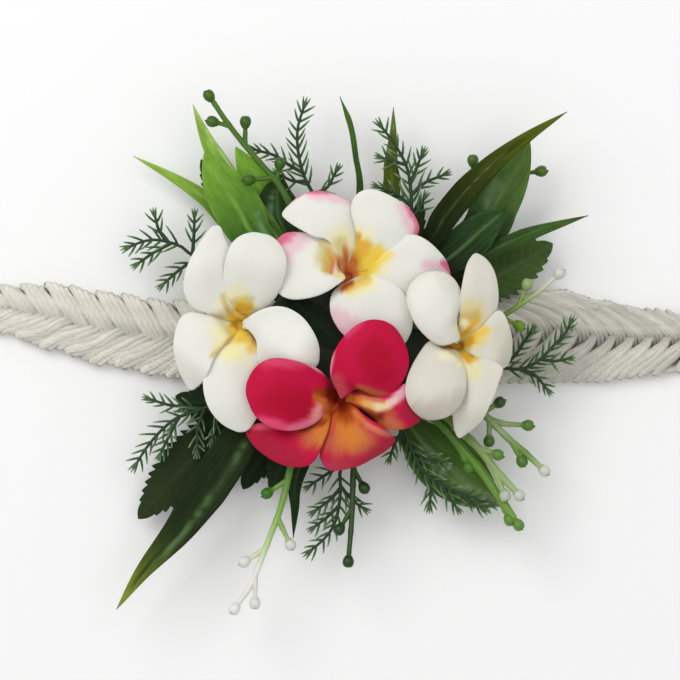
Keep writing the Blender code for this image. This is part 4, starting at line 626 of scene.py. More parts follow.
# Painted highlights: glossy streaks painted into a leaf's tint where light glints on it: how far across it,
# how wide, from and to which share of its length, and tint
PAINTED_GLOSS_STREAKS = {
    "bamboo_leaf_lower_left": (-0.36, 1.2, 0.16, 0.74, (0.33, 0.44, 0.27)),
    "bamboo_leaf_right": (-0.05, 0.22, 0.24, 0.66, (0.56, 0.60, 0.42)),
    "bamboo_leaf_upper_left": (0.72, 0.6, 0.30, 0.95, (0.70, 0.80, 0.50)),
    "broad_leaf_left": (0.62, 1.1, 0.10, 0.48, (0.50, 0.62, 0.46)),
    "broad_leaf_dark_left": (-0.30, 1.0, 0.20, 0.80, (0.46, 0.56, 0.42)),
    "broad_leaf_dark_right": (0.06, 0.25, 0.10, 0.66, (0.44, 0.54, 0.40)),
    "broad_leaf_right": (-0.35, 2.2, 0.34, 0.72, (0.40, 0.50, 0.34)),
    "broad_leaf_lower_right": (0.22, 2.0, 0.35, 0.95, (0.46, 0.55, 0.42)),
}

NEEDLE_TINTS = ((0.13, 0.23, 0.11), (0.24, 0.36, 0.20), (0.52, 0.61, 0.46))
STALK_TINT = (0.13, 0.23, 0.11)
# Berry sprays: tints of the stems at distances from the knot's middle, and of the berries in their order
BERRY_TINTS = {
    "berry_spray_upper_left": (
        [(30, (0.24, 0.37, 0.09)), (90, (0.31, 0.46, 0.12))],
        [(0.23, 0.38, 0.08)] * 5),
    "berry_spray_right": ([(30, (0.22, 0.32, 0.10)), (90, (0.32, 0.42, 0.14))], [(0.28, 0.40, 0.14)] * 2),
    "berry_spray_band_side": (
        [(44, (0.38, 0.48, 0.15)), (55, (0.50, 0.60, 0.26)), (61, (0.68, 0.72, 0.54)),
         (65, (0.80, 0.81, 0.76))],
        [(0.82, 0.83, 0.79), (0.58, 0.66, 0.42), (0.40, 0.54, 0.14)]),
    "berry_spray_lower_right_outer": (
        [(36, (0.30, 0.42, 0.16)), (48, (0.40, 0.52, 0.24)), (56, (0.62, 0.69, 0.50)),
         (66, (0.38, 0.52, 0.20)), (73, (0.64, 0.70, 0.50))],
        [(0.78, 0.80, 0.74), (0.20, 0.34, 0.12), (0.34, 0.50, 0.16), (0.30, 0.48, 0.16),
         (0.26, 0.42, 0.14)]),
    "berry_spray_lower_right_middle": (
        [(30, (0.26, 0.38, 0.13)), (52, (0.44, 0.54, 0.28)), (70, (0.62, 0.70, 0.48))],
        [(0.76, 0.78, 0.72), (0.34, 0.50, 0.20), (0.70, 0.74, 0.66)]),
    "berry_spray_lower_right_inner": (
        [(30, (0.22, 0.34, 0.11)), (56, (0.34, 0.50, 0.17)), (80, (0.46, 0.60, 0.24))],
        [(0.36, 0.52, 0.20), (0.38, 0.54, 0.22), (0.28, 0.44, 0.14)]),
    "berry_spray_bottom_left": (
        [(40, (0.30, 0.46, 0.14)), (58, (0.46, 0.62, 0.26)), (70, (0.70, 0.78, 0.56)),
         (77, (0.86, 0.86, 0.82))],
        [(0.88, 0.88, 0.86), (0.88, 0.88, 0.86), (0.20, 0.42, 0.09), (0.84, 0.85, 0.81),
         (0.84, 0.85, 0.81)]),
    "berry_spray_bottom": ([(30, (0.12, 0.22, 0.06)), (80, (0.18, 0.31, 0.08))], [(0.13, 0.25, 0.07)] * 3),
}

STRAND_TINT = (0.965, 0.95, 0.90)
# painted shade: the core under the strands is dark so that the slits between them look shadowed
STRAND_SHADE = (0.50, 0.47, 0.40)
FELT_TINT = (0.13, 0.22, 0.13)
TAPE_TINT = (0.10, 0.16, 0.07)


def seen(colour):
    """A colour as the eye sees it, as light for the shader."""
    c = np.asarray(colour, float)
    return np.where(c <= 0.04045, c / 12.92, ((c + 0.055) / 1.055) ** 2.4)


def blend(low, high, share):
    return low + (high - low) * share


def smoothstep(share):
    share = np.clip(share, 0.0, 1.0)
    return share * share * (3 - 2 * share)


def bell(value, wide):
    """1 where the value is nought, falling off to either side."""
    return np.exp(-((value / wide) ** 2))


def fine_ends(count):
    """Numbers from -1 to 1 that lie closer together towards both ends."""
    return np.sin(np.linspace(-1, 1, count) * math.pi / 2)


def unit(vectors):
    return vectors / np.maximum(np.linalg.norm(vectors, axis=-1, keepdims=True), 1e-12)


def read_off(want, marks, rows):
    """Each column of the rows, which stand at the marks, read off at the wanted places between them."""
    return np.stack([np.interp(want, marks, column) for column in np.transpose(rows)], -1)


def lengths_to(points):
    """The length along a row of points up to each of them."""
    steps = np.linalg.norm(np.diff(points, axis=0), axis=1)
    return np.concatenate([[0.0], np.cumsum(steps)])


def measured(points, ease=0):
    """A close row of points on the smooth curve through the given points, and the length up to each."""
    p = np.asarray([tuple(q) for q in points], float)
    p = np.vstack([2 * p[0] - p[1], p, 2 * p[-1] - p[-2]])
    t = np.linspace(0, 1, CURVE_STEPS, endpoint=False)[:, None]
    parts = []
    for k in range(len(p) - 3):
        p0, p1, p2, p3 = p[k:k + 4]
        bend = 2 * p0 - 5 * p1 + 4 * p2 - p3
        twist = 3 * p1 - p0 - 3 * p2 + p3
        parts.append(0.5 * (2 * p1 + (p2 - p0) * t + bend * t**2 + twist * t**3))
    dense = np.vstack([*parts, p[-2]])
    for _ in range(ease):
        dense[1:-1] = (dense[:-2] + 2 * dense[1:-1] + dense[2:]) / 4
    return dense, lengths_to(dense)


def trace(points, shares, ease=0):
    """Places and unit tangents at these shares of the length of the curve, and that length."""
    dense, lengths = measured(points, ease)
    want = np.asarray(shares, float) * lengths[-1]
    heading = unit(np.gradient(dense, axis=0))
    return read_off(want, lengths, dense), unit(read_off(want, lengths, heading)), lengths[-1]


def placed(name, data):
    """A new object with this data, in the scene."""
    made = bpy.data.objects.new(name, data)
    bpy.context.scene.collection.objects.link(made)
    return made


class Heap:
    """Points, faces, flat places and tints of the parts that make one piece."""

    def __init__(self):
        self.points, self.faces, self.flats, self.tints = [], [], [], []
        self.count = 0

    def add(self, points, faces, flat, tint):
        points = np.asarray(points, float).reshape(-1, 3)
        self.points.append(points)
        self.faces += [tuple(int(i) + self.count for i in face) for face in faces]
        self.flats.append(np.broadcast_to(np.asarray(flat, float).reshape(-1, 2), (len(points), 2)))
        self.tints.append(np.broadcast_to(np.asarray(tint, float).reshape(-1, 3), (len(points), 3)))
        self.count += len(points)

    def add_tube(self, rings, flat, tint):
        """Adds a closed tube through rings of points, with a cap at each end."""
        count, sides = rings.shape[:2]
        a = np.arange((count - 1) * sides)
        b = a // sides * sides + (a + 1) % sides
        quads = np.column_stack([a, b, b + sides, a + sides]).tolist()
        self.add(rings, [range(sides)[::-1], *quads, range((count - 1) * sides, count * sides)], flat, tint)

    def piece(self, name, look, slot, *nodes, angle=60):
        """The object, with a UV map of its flat places and a colour attribute of its tints."""
        points, flats = np.vstack(self.points) * MM, np.vstack(self.flats)
        tints = seen(np.vstack(self.tints))
        mesh = bpy.data.meshes.new(name)
        mesh.from_pydata(points.tolist(), [], self.faces)
        colours = mesh.color_attributes.new("tint", "FLOAT_COLOR", "POINT")
        colours.data.foreach_set("color", np.column_stack([tints, np.ones(len(tints))]).ravel())
        corner = np.zeros(len(mesh.loops), int)
        mesh.loops.foreach_get("vertex_index", corner)
        mesh.uv_layers.new(name="flat").data.foreach_set("uv", flats[corner].ravel())
        mesh.materials.append(look)
        work = bmesh.new()
        work.from_mesh(mesh)
        bmesh.ops.recalc_face_normals(work, faces=work.faces)
        work.to_mesh(mesh)
        work.free()
        mesh.shade_smooth()
        mesh.set_sharp_from_angle(angle=math.radians(angle))
        made = placed(name, mesh)
        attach(made, "root")
        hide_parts(*nodes)
        return made


def sheet_normals(middle):
    """Unit normals of a grid of places, on its upper side."""
    normal = unit(np.cross(np.gradient(middle, axis=1), np.gradient(middle, axis=0)))
    return normal if normal[..., 2].sum() > 0 else -normal


def add_sheet(heap, middle, half, flat, tint):
    """Adds a thin closed sheet from the grid of its middle; its two sides meet round the border."""
    rows, columns = half.shape
    half = half.copy()
    half[[0, -1], :] = 0
    half[:, [0, -1]] = 0
    offset = sheet_normals(middle) * half[..., None]
    inside = (half > 0).ravel()
    top = np.arange(rows * columns)
    under = np.where(inside, rows * columns + np.cumsum(inside) - 1, top)
    a = (np.arange(rows - 1)[:, None] * columns + np.arange(columns - 1)).ravel()
    quads = np.column_stack([a, a + 1, a + columns + 1, a + columns])
    upper, lower = (middle + offset).reshape(-1, 3), (middle - offset).reshape(-1, 3)
    flat, tint = flat.reshape(-1, 2), tint.reshape(-1, 3)
    heap.add(
        np.vstack([upper, lower[inside]]),
        np.vstack([top[quads], under[quads][:, ::-1]]),
        np.vstack([flat, flat[inside]]),
        np.vstack([tint, tint[inside]]),
    )


def add_pipe(heap, places, radii, sides, tint, squash=1.0, level=False):
    """Adds a closed round pipe along the places. squash is its height over its width."""
    places = np.asarray(places, float)
    radii = np.broadcast_to(np.asarray(radii, float), len(places))
    up = np.array([0.0, 0.0, 1.0])
    tangent = np.broadcast_to(up, places.shape) if level else unit(np.gradient(places, axis=0))
    side = np.cross(tangent, up)
    side[np.linalg.norm(side, axis=1) < 0.05] = (1.0, 0.0, 0.0)
    side = unit(side)
    down = np.cross(tangent, side)
    turns = math.tau * (np.arange(sides) + 0.5) / sides
    ring = side[:, None] * np.cos(turns)[:, None] + down[:, None] * (np.sin(turns)[:, None] * squash)
    rings = places[:, None] + ring * radii[:, None, None]
    flat = np.stack(np.broadcast_arrays(turns[None] * radii.mean(), lengths_to(places)[:, None]), -1)
    tint = np.asarray(tint, float)
    heap.add_tube(rings, flat, np.broadcast_to(tint if tint.ndim == 1 else tint[:, None], rings.shape))


class Look:
    """A Principled material that is built up node by node."""

    def __init__(self, name, roughness, **shader):
        self.material = bpy.data.materials.new(name)
        self.material.use_nodes = True
        self.tree = self.material.node_tree
        self.shader = self.tree.nodes["Principled BSDF"]
        shader = {key.replace("_", " "): value for key, value in shader.items()}
        self.set(self.shader, {"Roughness": roughness, **shader})
        self.place = self.add("TexCoord").outputs["Object"]
        self.flat = self.add("TexCoord").outputs["UV"]
        self.tint = self.add("VertexColor", layer_name="tint").outputs["Color"]

    def set(self, node, inputs):
        for key, value in inputs.items():
            if isinstance(value, bpy.types.NodeSocket):
                self.tree.links.new(value, node.inputs[key])
            else:
                node.inputs[key].default_value = value

    def add(self, kind, inputs=None, **settings):
        node = self.tree.nodes.new("ShaderNode" + kind)
        for key, value in settings.items():
            setattr(node, key, value)
        self.set(node, inputs or {})
        return node

    def math(self, operation, a, b=0.0):
        return self.add("Math", {0: a, 1: b}, operation=operation).outputs[0]

    def times(self, a, b):
        return self.math("MULTIPLY", a, b)

    def plus(self, a, b):
        return self.math("ADD", a, b)

    def wave(self, value, pitch):
        return self.math("SINE", self.times(value, math.tau / pitch))

    def apart(self, vector):
        """The first two components of a vector."""
        made = self.add("SeparateXYZ", {"Vector": vector})
        return made.outputs["X"], made.outputs["Y"]

    def noise(self, scale, detail=2.0, roughness=0.5, over=None, stretch=None):
        vector = over or self.place
        if stretch:
            vector = self.add("Mapping", {"Vector": vector, "Scale": stretch}).outputs["Vector"]
        inputs = {"Vector": vector, "Scale": scale, "Detail": detail, "Roughness": roughness}
        return self.add("TexNoise", inputs).outputs["Fac"]

    def ramp(self, value, low, high, to_low=0.0, to_high=1.0):
        inputs = {"Value": value, "From Min": low, "From Max": high, "To Min": to_low, "To Max": to_high}
        return self.add("MapRange", inputs).outputs["Result"]

    def scaled(self, colour, low, high, factor):
        """The colour times a grey that runs from low to high with the factor."""
        inputs = {"Vector": colour, "Scale": self.ramp(factor, 0.0, 1.0, low, high)}
        return self.add("VectorMath", inputs, operation="SCALE").outputs["Vector"]

    def finish(self, colour, height, depth, strength=1.0):
        """Sets the colour, and a bump of this height, which is depth millimetres deep."""
        bump = self.add("Bump", {"Height": height, "Distance": depth * MM, "Strength": strength})
        self.set(self.shader, {"Base Color": colour, "Normal": bump.outputs["Normal"]})
        return self.material


def foam(name, grain, shine):
    """Moulded foam: a fine grain, and soft creases that run out along the petal."""
    look = Look(name, 0.62, Specular_IOR_Level=shine, Subsurface_Weight=0.12, Subsurface_Scale=0.0015)
    fine = look.noise(scale=2600)
    streak = look.noise(scale=1.6, detail=3.0, over=look.flat, stretch=(1.2, 0.16, 1.0))
    colour = look.scaled(look.tint, 1 - grain, 1 + grain, fine)
    colour = look.scaled(colour, 0.97, 1.03, look.noise(scale=160))
    return look.finish(colour, look.plus(look.times(fine, 0.25), streak), depth=0.15, strength=0.5)


def leaf_skin(name, roughness, shine, mottle, veins, depth=0.1):
    """A moulded leaf: lengthwise veins, a midrib, and mottled colour."""
    look = Look(name, roughness, Specular_IOR_Level=shine)
    across = look.math("ABSOLUTE", look.apart(look.flat)[0])
    lines = look.wave(look.plus(across, look.times(look.noise(scale=90), 1.4)), veins)
    patches = look.noise(scale=0.5, detail=3.0, roughness=0.6, over=look.flat, stretch=(1.0, 0.3, 1.0))
    colour = look.scaled(look.tint, 1 - mottle, 1 + mottle, look.ramp(patches, 0.3, 0.7))
    colour = look.scaled(colour, 0.96, 1.04, look.ramp(lines, -1.0, 1.0))
    fine = look.noise(scale=1500, detail=3.0)
    height = look.plus(look.times(lines, 0.5), look.times(fine, 0.8))
    return look.finish(colour, height, depth, strength=0.7)


def leaf_cloth(name):
    """Woven cloth leaf: a fine slanted weave and side veins that reach the teeth."""
    vein_pitch, thread_pitch = 3.2, 0.42
    look = Look(name, 0.85, Specular_IOR_Level=0.2, Sheen_Weight=0.1, Sheen_Roughness=0.5)
    across, along = look.apart(look.flat)
    climb = look.math("SUBTRACT", along, look.times(look.math("ABSOLUTE", across), 0.8))
    vein = look.ramp(look.wave(climb, vein_pitch), 0.82, 1.0)
    warp = look.wave(look.plus(across, along), thread_pitch)
    weft = look.wave(look.math("SUBTRACT", across, along), thread_pitch)
    weave = look.times(look.plus(warp, weft), 0.25)
    colour = look.scaled(look.tint, 0.8, 1.2, look.noise(scale=260, detail=3.0))
    colour = look.scaled(colour, 0.86, 1.16, look.plus(weave, 0.5))
    colour = look.scaled(colour, 1.0, 1.25, vein)
    return look.finish(colour, look.plus(weave, look.times(vein, 0.9)), depth=0.16, strength=0.8)


def smooth_plastic(name, roughness, mottle, grain, depth):
    """Moulded plastic of needles, stems and berries, with faint flecks."""
    look = Look(name, roughness, Specular_IOR_Level=0.35)
    colour = look.scaled(look.tint, 1 - mottle, 1 + mottle, look.noise(grain, detail=3.0))
    return look.finish(colour, look.noise(grain * 3), depth, strength=0.6)


def fibre(name):
    """Bleached plant fibre: fine strands along each cord."""
    look = Look(name, 0.9, Sheen_Weight=0.1)
    hairs = look.noise(scale=1.5, detail=3.0, roughness=0.6, over=look.flat, stretch=(2.4, 0.14, 1.0))
    hairs = look.ramp(hairs, 0.3, 0.7)
    colour = look.scaled(look.tint, 0.84, 1.1, hairs)
    colour = look.scaled(colour, 0.94, 1.06, look.noise(scale=140))
    return look.finish(colour, hairs, depth=0.45, strength=0.9)


def felt_look(name):
    look = Look(name, 0.97, Sheen_Weight=0.3, Sheen_Roughness=0.6)
    tangle = look.noise(scale=900, detail=6.0, roughness=0.7)
    return look.finish(look.scaled(look.tint, 0.6, 1.4, tangle), tangle, depth=0.5, strength=0.8)


def tape_look(name):
    """Florist's tape: stretched, wrinkled bands wound round the stems."""
    look = Look(name, 0.7)
    wrinkle = look.noise(scale=1.0, detail=4.0, roughness=0.6, stretch=(300.0, 300.0, 1500.0))
    return look.finish(look.scaled(look.tint, 0.6, 1.4, wrinkle), wrinkle, depth=0.5, strength=0.9)


def layer_height(x, y, layer):
    """Height of a foliage layer's middle over a place."""
    reach = np.hypot(x - KNOT_CENTRE[0], y - KNOT_CENTRE[1]) / SPREAD_RADIUS
    return LAYER_FIRST + LAYER_STEP * layer + (LAYER_DROOP + LAYER_SPREAD * layer) * reach * reach


def on_layer(plan, layer):
    return [(x, y, layer_height(x, y, layer)) for x, y in plan]


def knot_root(x, y, half):
    """The place just outside the knot's wall on the way in from x, y, for a stem of this half width."""
    away = np.array([x - KNOT_CENTRE[0], y - KNOT_CENTRE[1]])
    away /= np.linalg.norm(away)
    axes = np.array([KNOT_HALF_LENGTH, KNOT_HALF_WIDTH])
    reach = 1 / np.linalg.norm(away / axes)
    wall = away / axes**2
    square = float(away @ wall) / np.linalg.norm(wall)
    reach += (GAP + half * math.sqrt(max(0.0, 1 - square * square))) / square
    return np.array(KNOT_CENTRE) + away * reach


def rooted(plan, layer, half):
    """The route from the knot's wall out through these plan points, which run from the base outwards."""
    return on_layer([tuple(knot_root(*plan[0], half)), *plan], layer)


def felt_pad():
    """The oval of felt against the wrist, with a soft rim."""
    heap = Heap()
    share = np.sin(np.linspace(0.02, 1, PAD_RINGS) * math.pi / 2)[:, None]
    turn = np.linspace(0, math.tau, PAD_SIDES + 1)[None]
    x, y = PAD_HALF_LENGTH * share * np.cos(turn), PAD_HALF_WIDTH * share * np.sin(turn)
    rise = PAD_THICK / 2 * np.sqrt(1 - share**16)
    upper, lower = (
        np.stack(np.broadcast_arrays(x, y, PAD_THICK / 2 + side * rise), -1)[:, :-1] for side in (1, -1)
    )
    rings = np.vstack([upper, lower[::-1][1:]])
    heap.add_tube(rings, rings[..., :2], FELT_TINT)
    pad = heap.piece("felt_pad_oval", felt_look("felt weave"), "felt", "felt_pad")


def band_course(x):
    """Centre line's y and half width at x, eased between the table's rows."""
    course = np.array(BAND_COURSE)
    k = np.clip(np.searchsorted(course[:, 0], x) - 1, 0, len(course) - 2)
    share = smoothstep((x - course[k, 0]) / (course[k + 1, 0] - course[k, 0]))
    return blend(course[k, 1], course[k + 1, 1], share), blend(course[k, 2], course[k + 1, 2], share)


def band_underside(x):
    """Height of the strap's underside: over the pad, down to the ground, a little up at the bindings."""
    lying = BAND_LIFT * (1 - smoothstep((np.abs(x) - LIFT_END) / LIFT_FADE))
    return lying + NECK_RISE * smoothstep((np.abs(x) - NECK_RISE_START) / NECK_RISE_FADE)


def band_thickness(x):
    tail = smoothstep((np.abs(x) - NECK_END) / (TAIL_END - NECK_END))
    thinned = smoothstep((np.abs(x) - THIN_START) / (BRAID_END - THIN_START))
    return blend(BAND_THICK, NECK_THICK, thinned) - TAIL_THINNING * tail


def band_height(x, rise):
    """Height in the strap: rise is -1 at its underside, 0 at its middle and 1 at its top."""
    return band_underside(x) + band_thickness(x) * 0.5 * (1 + rise)


def band_wrap(x, turn, inset, side):
    """A place round the band: turn is 0 at the top's middle line, half a turn at the edge, 1 underneath."""
    angle = math.pi * turn
    reach = np.abs(np.sin(angle)) ** EDGE_ROUND * np.sign(turn)
    fade = 1 - smoothstep((np.abs(x) - BRAID_END + SLANT_FADE) / SLANT_FADE)
    left = 1 - smoothstep((x + 30) / 40)
    (right_slant, right_bend), (left_slant, left_bend) = STRAND_COURSES[side]
    slant = fade * blend(right_slant, left_slant, left)
    _, half = band_course(x)
    place = x - slant * half * np.abs(reach) ** blend(right_bend, left_bend, left) * np.sign(reach)
    y, half = band_course(place)
    thick = band_thickness(place)
    rise = np.sign(np.cos(angle)) * np.abs(np.cos(angle)) ** TOP_ROUND
    height = band_underside(place) + thick * 0.5 + (thick / 2 - inset) * rise
    return np.stack([place, y + side * reach * (half - inset), height], -1)


def fibre_tint(shade):
    return np.array(STRAND_TINT) * shade


def add_strand(heap, rng, x, k, part, side):
    """One strand of cords side by side, from the middle line round the strap's edge to its underside."""
    _, _, pitch, slit, halves = part
    cords, radius, depth, narrow, bright = halves[side]
    turn = STRAND_TURNS
    tuck = 1 - smoothstep((turn + 0.05) / 0.15)
    shade = rng.uniform(0.95, 1.03) * bright
    opened = slit * rng.uniform(0.3, 1.0) * bell(turn - rng.uniform(0.3, 0.4), SLIT_LENGTH)
    wide = blend(narrow, STRAND_FILL, smoothstep((turn + 0.02) / 0.2)) * (1 - opened)
    for j in range(cords):
        share = (j + 0.5) / cords * 2 - 1
        spot = x + share * pitch / 2 * wide + rng.uniform(-0.1, 0.1)
        # none starts past the braid's end
        if x > BRAID_END + 2:
            continue
        bulge = 1 - share * share
        places = band_wrap(spot, turn, radius * 0.9, side)
        step = EDGE_STEP * share * (slit > 0) * (1.0 if side > 0 else 0.5)
        over_edge = np.sin(math.pi * np.clip(turn, 0, 1)) ** 2
        places[:, 1] += (side * STRAND_BULGE * bulge - step) * over_edge
        on_top = np.sin(math.pi * np.clip(turn * 1.6, 0, 1))
        places[:, 2] += STRAND_RELIEF * (bulge - 0.45) * on_top - depth * tuck
        size = radius * (1 + 0.07 * np.sin(turn * 7 + j * 2 + k)) * (1 - 0.4 * tuck)
        # painted shade: the cords darken where they tuck under at the middle line
        deep = (1 - 0.13 * depth * tuck)[:, None]
        # a cord's random tone, with painted shade that darkens the side cords towards the grooves between
        # strands
        tone_with_groove_shade = rng.uniform(0.95, 1.03) * (0.9 + 0.1 * bulge)
        tint = fibre_tint(np.minimum(tone_with_groove_shade * shade * deep, 1 / STRAND_TINT[0]))
        add_pipe(heap, places, size, 9, tint, squash=0.8)


def add_fold(heap, rng):
    """The smooth fold along the upper edge right of the knot: cords, each shorter than the last."""
    for j in range(FOLD_CORDS):
        x = np.linspace(FOLD_FIRST + j * 1.6, FOLD_LAST - j * 2.2, 30)
        y, half = band_course(x)
        lifted = smoothstep((x - x[0]) / 5) * (1 - smoothstep((x - x[-1] + 5) / 5))
        out = half - FOLD_RADIUS - j * FOLD_PITCH
        angle = np.arcsin(np.clip(out / half, 0, 1) ** (1 / EDGE_ROUND))
        height = band_height(x, np.cos(angle) ** TOP_ROUND) + blend(-1.8, 0.1, lifted)
        # painted shade: cords 1 to 3 are darker, where the fold's upper part lies in shade
        shade = rng.uniform(0.97, 1.02) * (0.95 if 1 <= j <= 3 else 1.0)
        add_pipe(heap, np.stack([x, y + out, height], -1), FOLD_RADIUS, 7, fibre_tint(shade))


def braided_band():
    """Strands of cords that slant in from both edges and dip under the other side's at the middle line."""
    heap = Heap()
    rng = np.random.default_rng(BAND_SEED)
    for part in BRAID_PARTS:
        first, last, pitch = part[:3]
        for side in (1, -1):
            for k in range(int((last - first) / pitch) + 1):
                add_strand(heap, rng, first + (k + (0.0 if side > 0 else 0.5)) * pitch, k, part, side)
    # a smooth border along the lower edge right of the knot
    x = np.linspace(20.0, BRAID_END - 4, 70)
    y, half = band_course(x)
    border = np.stack([x, y - half + RIM_CORD, band_height(x, 0)], -1)
    add_pipe(heap, border, RIM_CORD, 8, fibre_tint(0.96))
    add_fold(heap, rng)
    # the core that the strands lie round; its dark tint is painted shade, seen through the slits between
    # strands
    turns = np.linspace(0.0, 1.0, CORE_SIDES)
    rings = []
    for x in np.linspace(-BRAID_END, BRAID_END, 90):
        upper = band_wrap(np.full(CORE_SIDES, x), turns, CORE_INSET, 1)
        lower = band_wrap(np.full(CORE_SIDES - 2, x), turns[::-1][1:-1], CORE_INSET, -1)
        rings.append(np.vstack([upper, lower]))
    rings = np.array(rings)
    heap.add_tube(rings, rings[..., :2], STRAND_SHADE)
    # gathered fibres through the bindings to the brush tails
    for sign in (-1, 1):
        for j in range(TAIL_FIBRES):
            angle, ring = math.tau * j / TAIL_FIBRES * 5, 0.35 + 0.6 * ((j * 7) % 10) / 10
            x = sign * np.linspace(BRAID_END - 8, TAIL_END - 0.2 - rng.uniform(0, 2.6), 18)
            y, half = band_course(x)
            thick = band_thickness(x)
            across = math.cos(angle) * ring * (half - 0.5)
            height = band_underside(x) + thick * 0.5 + math.sin(angle) * ring * (thick / 2 - 0.5)
            shade = rng.uniform(0.84, 1.02)
            add_pipe(heap, np.stack([x, y + across, height], -1), TAIL_FIBRE, 5, fibre_tint(shade))
    heap.piece("herringbone_strap", fibre("bleached fibre"), "braid", "braided_band", angle=80)


def end_binding(name, node, sign, look):
    """Cord wound round the neck where the braid ends."""
    heap = Heap()
    middle = sign * BINDING_MIDDLE
    y, half = band_course(middle)
    thick = band_thickness(middle)
    wide, tall = half + BINDING_SIDE, thick / 2 + BINDING_OVER
    t = np.linspace(0, BINDING_TURNS * math.tau, BINDING_TURNS * 22)
    x = middle + BINDING_HALF * np.linspace(-1, 1, len(t))
    height = band_underside(middle) + thick * 0.52 + tall * np.sin(t)
    add_pipe(heap, np.stack([x, y + wide * np.cos(t), height], -1), BINDING_CORD, 8, fibre_tint(0.95))
    heap.piece(name, look, "binding", node, angle=80)


def stem_knot():
    """The oval bundle of stems wound with tape, open where the band runs through it."""
    levels = np.linspace(BAND_LIFT, KNOT_WALL_TOP, 26)
    levels = np.concatenate([levels, [KNOT_TOP - KNOT_RIM, KNOT_TOP]])[:, None]
    t = math.tau * np.arange(KNOT_SIDES)[None] / KNOT_SIDES
    rise = smoothstep((levels - KNOT_WALL_TOP) / (KNOT_TOP - KNOT_WALL_TOP))
    rib = 1 - KNOT_RIB + KNOT_RIB * np.cos(t * KNOT_STEMS)
    wrap = 1 + TAPE_RELIEF * np.sin(levels * math.tau / TAPE_PITCH + t)
    reach = rib * wrap * (1 - KNOT_CLOSING * rise) - TAPE_RELIEF
    rings = np.stack(np.broadcast_arrays(
        KNOT_CENTRE[0] + reach * KNOT_HALF_LENGTH * np.cos(t),
        KNOT_CENTRE[1] + reach * KNOT_HALF_WIDTH * np.sin(t),
        levels,
    ), -1)
    heap = Heap()
    heap.add_tube(rings, rings[..., :2], TAPE_TINT)
    knot = heap.piece("taped_stems", tape_look("wound tape"), "stem_tape", "stem_knot", angle=50)
    # the channel is cut out with a long box that starts below the knot
    low = -5.0
    work = bmesh.new()
    bmesh.ops.create_cube(work, size=1.0)
    for corner in work.verts:
        x, y, z = corner.co
        height = (CHANNEL_TOP + low) / 2 + z * (CHANNEL_TOP - low)
        corner.co = Vector((x * 4 * KNOT_HALF_LENGTH, y * 2 * CHANNEL_HALF, height)) * MM
    mesh = bpy.data.meshes.new("channel")
    work.to_mesh(mesh)
    work.free()
    channel = placed("channel", mesh)
    cut = knot.modifiers.new("channel", "BOOLEAN")
    cut.operation, cut.object, cut.solver = "DIFFERENCE", channel, "EXACT"
    opened = bpy.data.meshes.new_from_object(knot.evaluated_get(bpy.context.evaluated_depsgraph_get()))
    knot.modifiers.clear()
    knot.data = opened
    bpy.data.objects.remove(channel)


def long_shape(share, taper):
    """Half width of a narrow blade: soon wide from its stem, then a long taper."""
    return smoothstep(share / 0.34) ** 0.8 * np.minimum(1.0, (1 - share) / taper) ** 0.85


def oval_shape(share, stalk, lean, fullness):
    """Half width of an oval leaf that starts after its stalk and has a short point."""
    out = np.clip((share - stalk) / (1 - stalk), 0, 1)
    return np.sin(math.pi * out**lean).clip(0) ** fullness


def tucked_shape(share):
    return np.sin(math.pi * np.clip(share, 0.03, 0.97)) ** 0.7


def leaf_shares(length, toothed):
    """Shares of a leaf's length at which it is shaped, and how deep the gap between teeth is at each."""
    if not toothed:
        shares = np.sin(np.linspace(0, 1, LEAF_ROWS) * math.pi / 2) ** 1.15
        return shares, np.zeros(len(shares))
    count = round(0.76 * length / TOOTH_PITCH)
    teeth = [0.2 + 0.77 * (k + step) / count for k in range(count) for step in TOOTH_STEPS]
    gaps = [0.0] * 8 + [1 - step for _ in range(count) for step in TOOTH_STEPS] + [0.0] * 2
    return np.concatenate([np.linspace(0, 0.19, 8), teeth, [0.985, 1.0]]), np.array(gaps)


def leaf_tint(name, shares, v, across, half, stem):
    """Tints over a leaf: base to tip, paler midrib and rim, and a painted highlight, a glossy streak, on
    some.
    """
    base, tip, rib = (np.array(tint) for tint in LEAF_TINTS[name])
    paling = LATE_TINTS.get(name, PALING)
    along, h = shares[:, None], half[:, None]
    tint = blend(base, tip, smoothstep((along - paling) / (1 - paling)))[:, None]
    near_rib = bell(across, 0.45)[..., None] * smoothstep((h - stem) / 2)[..., None]
    rim = smoothstep((np.abs(v) - 0.8) / 0.2)[..., None] * 0.25
    tint = blend(tint, rib, np.clip(near_rib * 0.8 + rim, 0, 1))
    # painted highlight: a broken glossy streak blended into the tint
    if name in PAINTED_GLOSS_STREAKS:
        at, wide, first, last, gloss_tint = PAINTED_GLOSS_STREAKS[name]
        broken = 0.65 + 0.35 * np.sin(along * 61 + 3 * np.sin(along * 23) + v * 5)
        shown = smoothstep((along - first) / 0.1) * (1 - smoothstep((along - last) / 0.1))
        weight = bell((v - at) * h, wide) * broken * shown
        tint = blend(tint, np.array(gloss_tint), weight[..., None])
    return np.clip(tint, 0, 1)


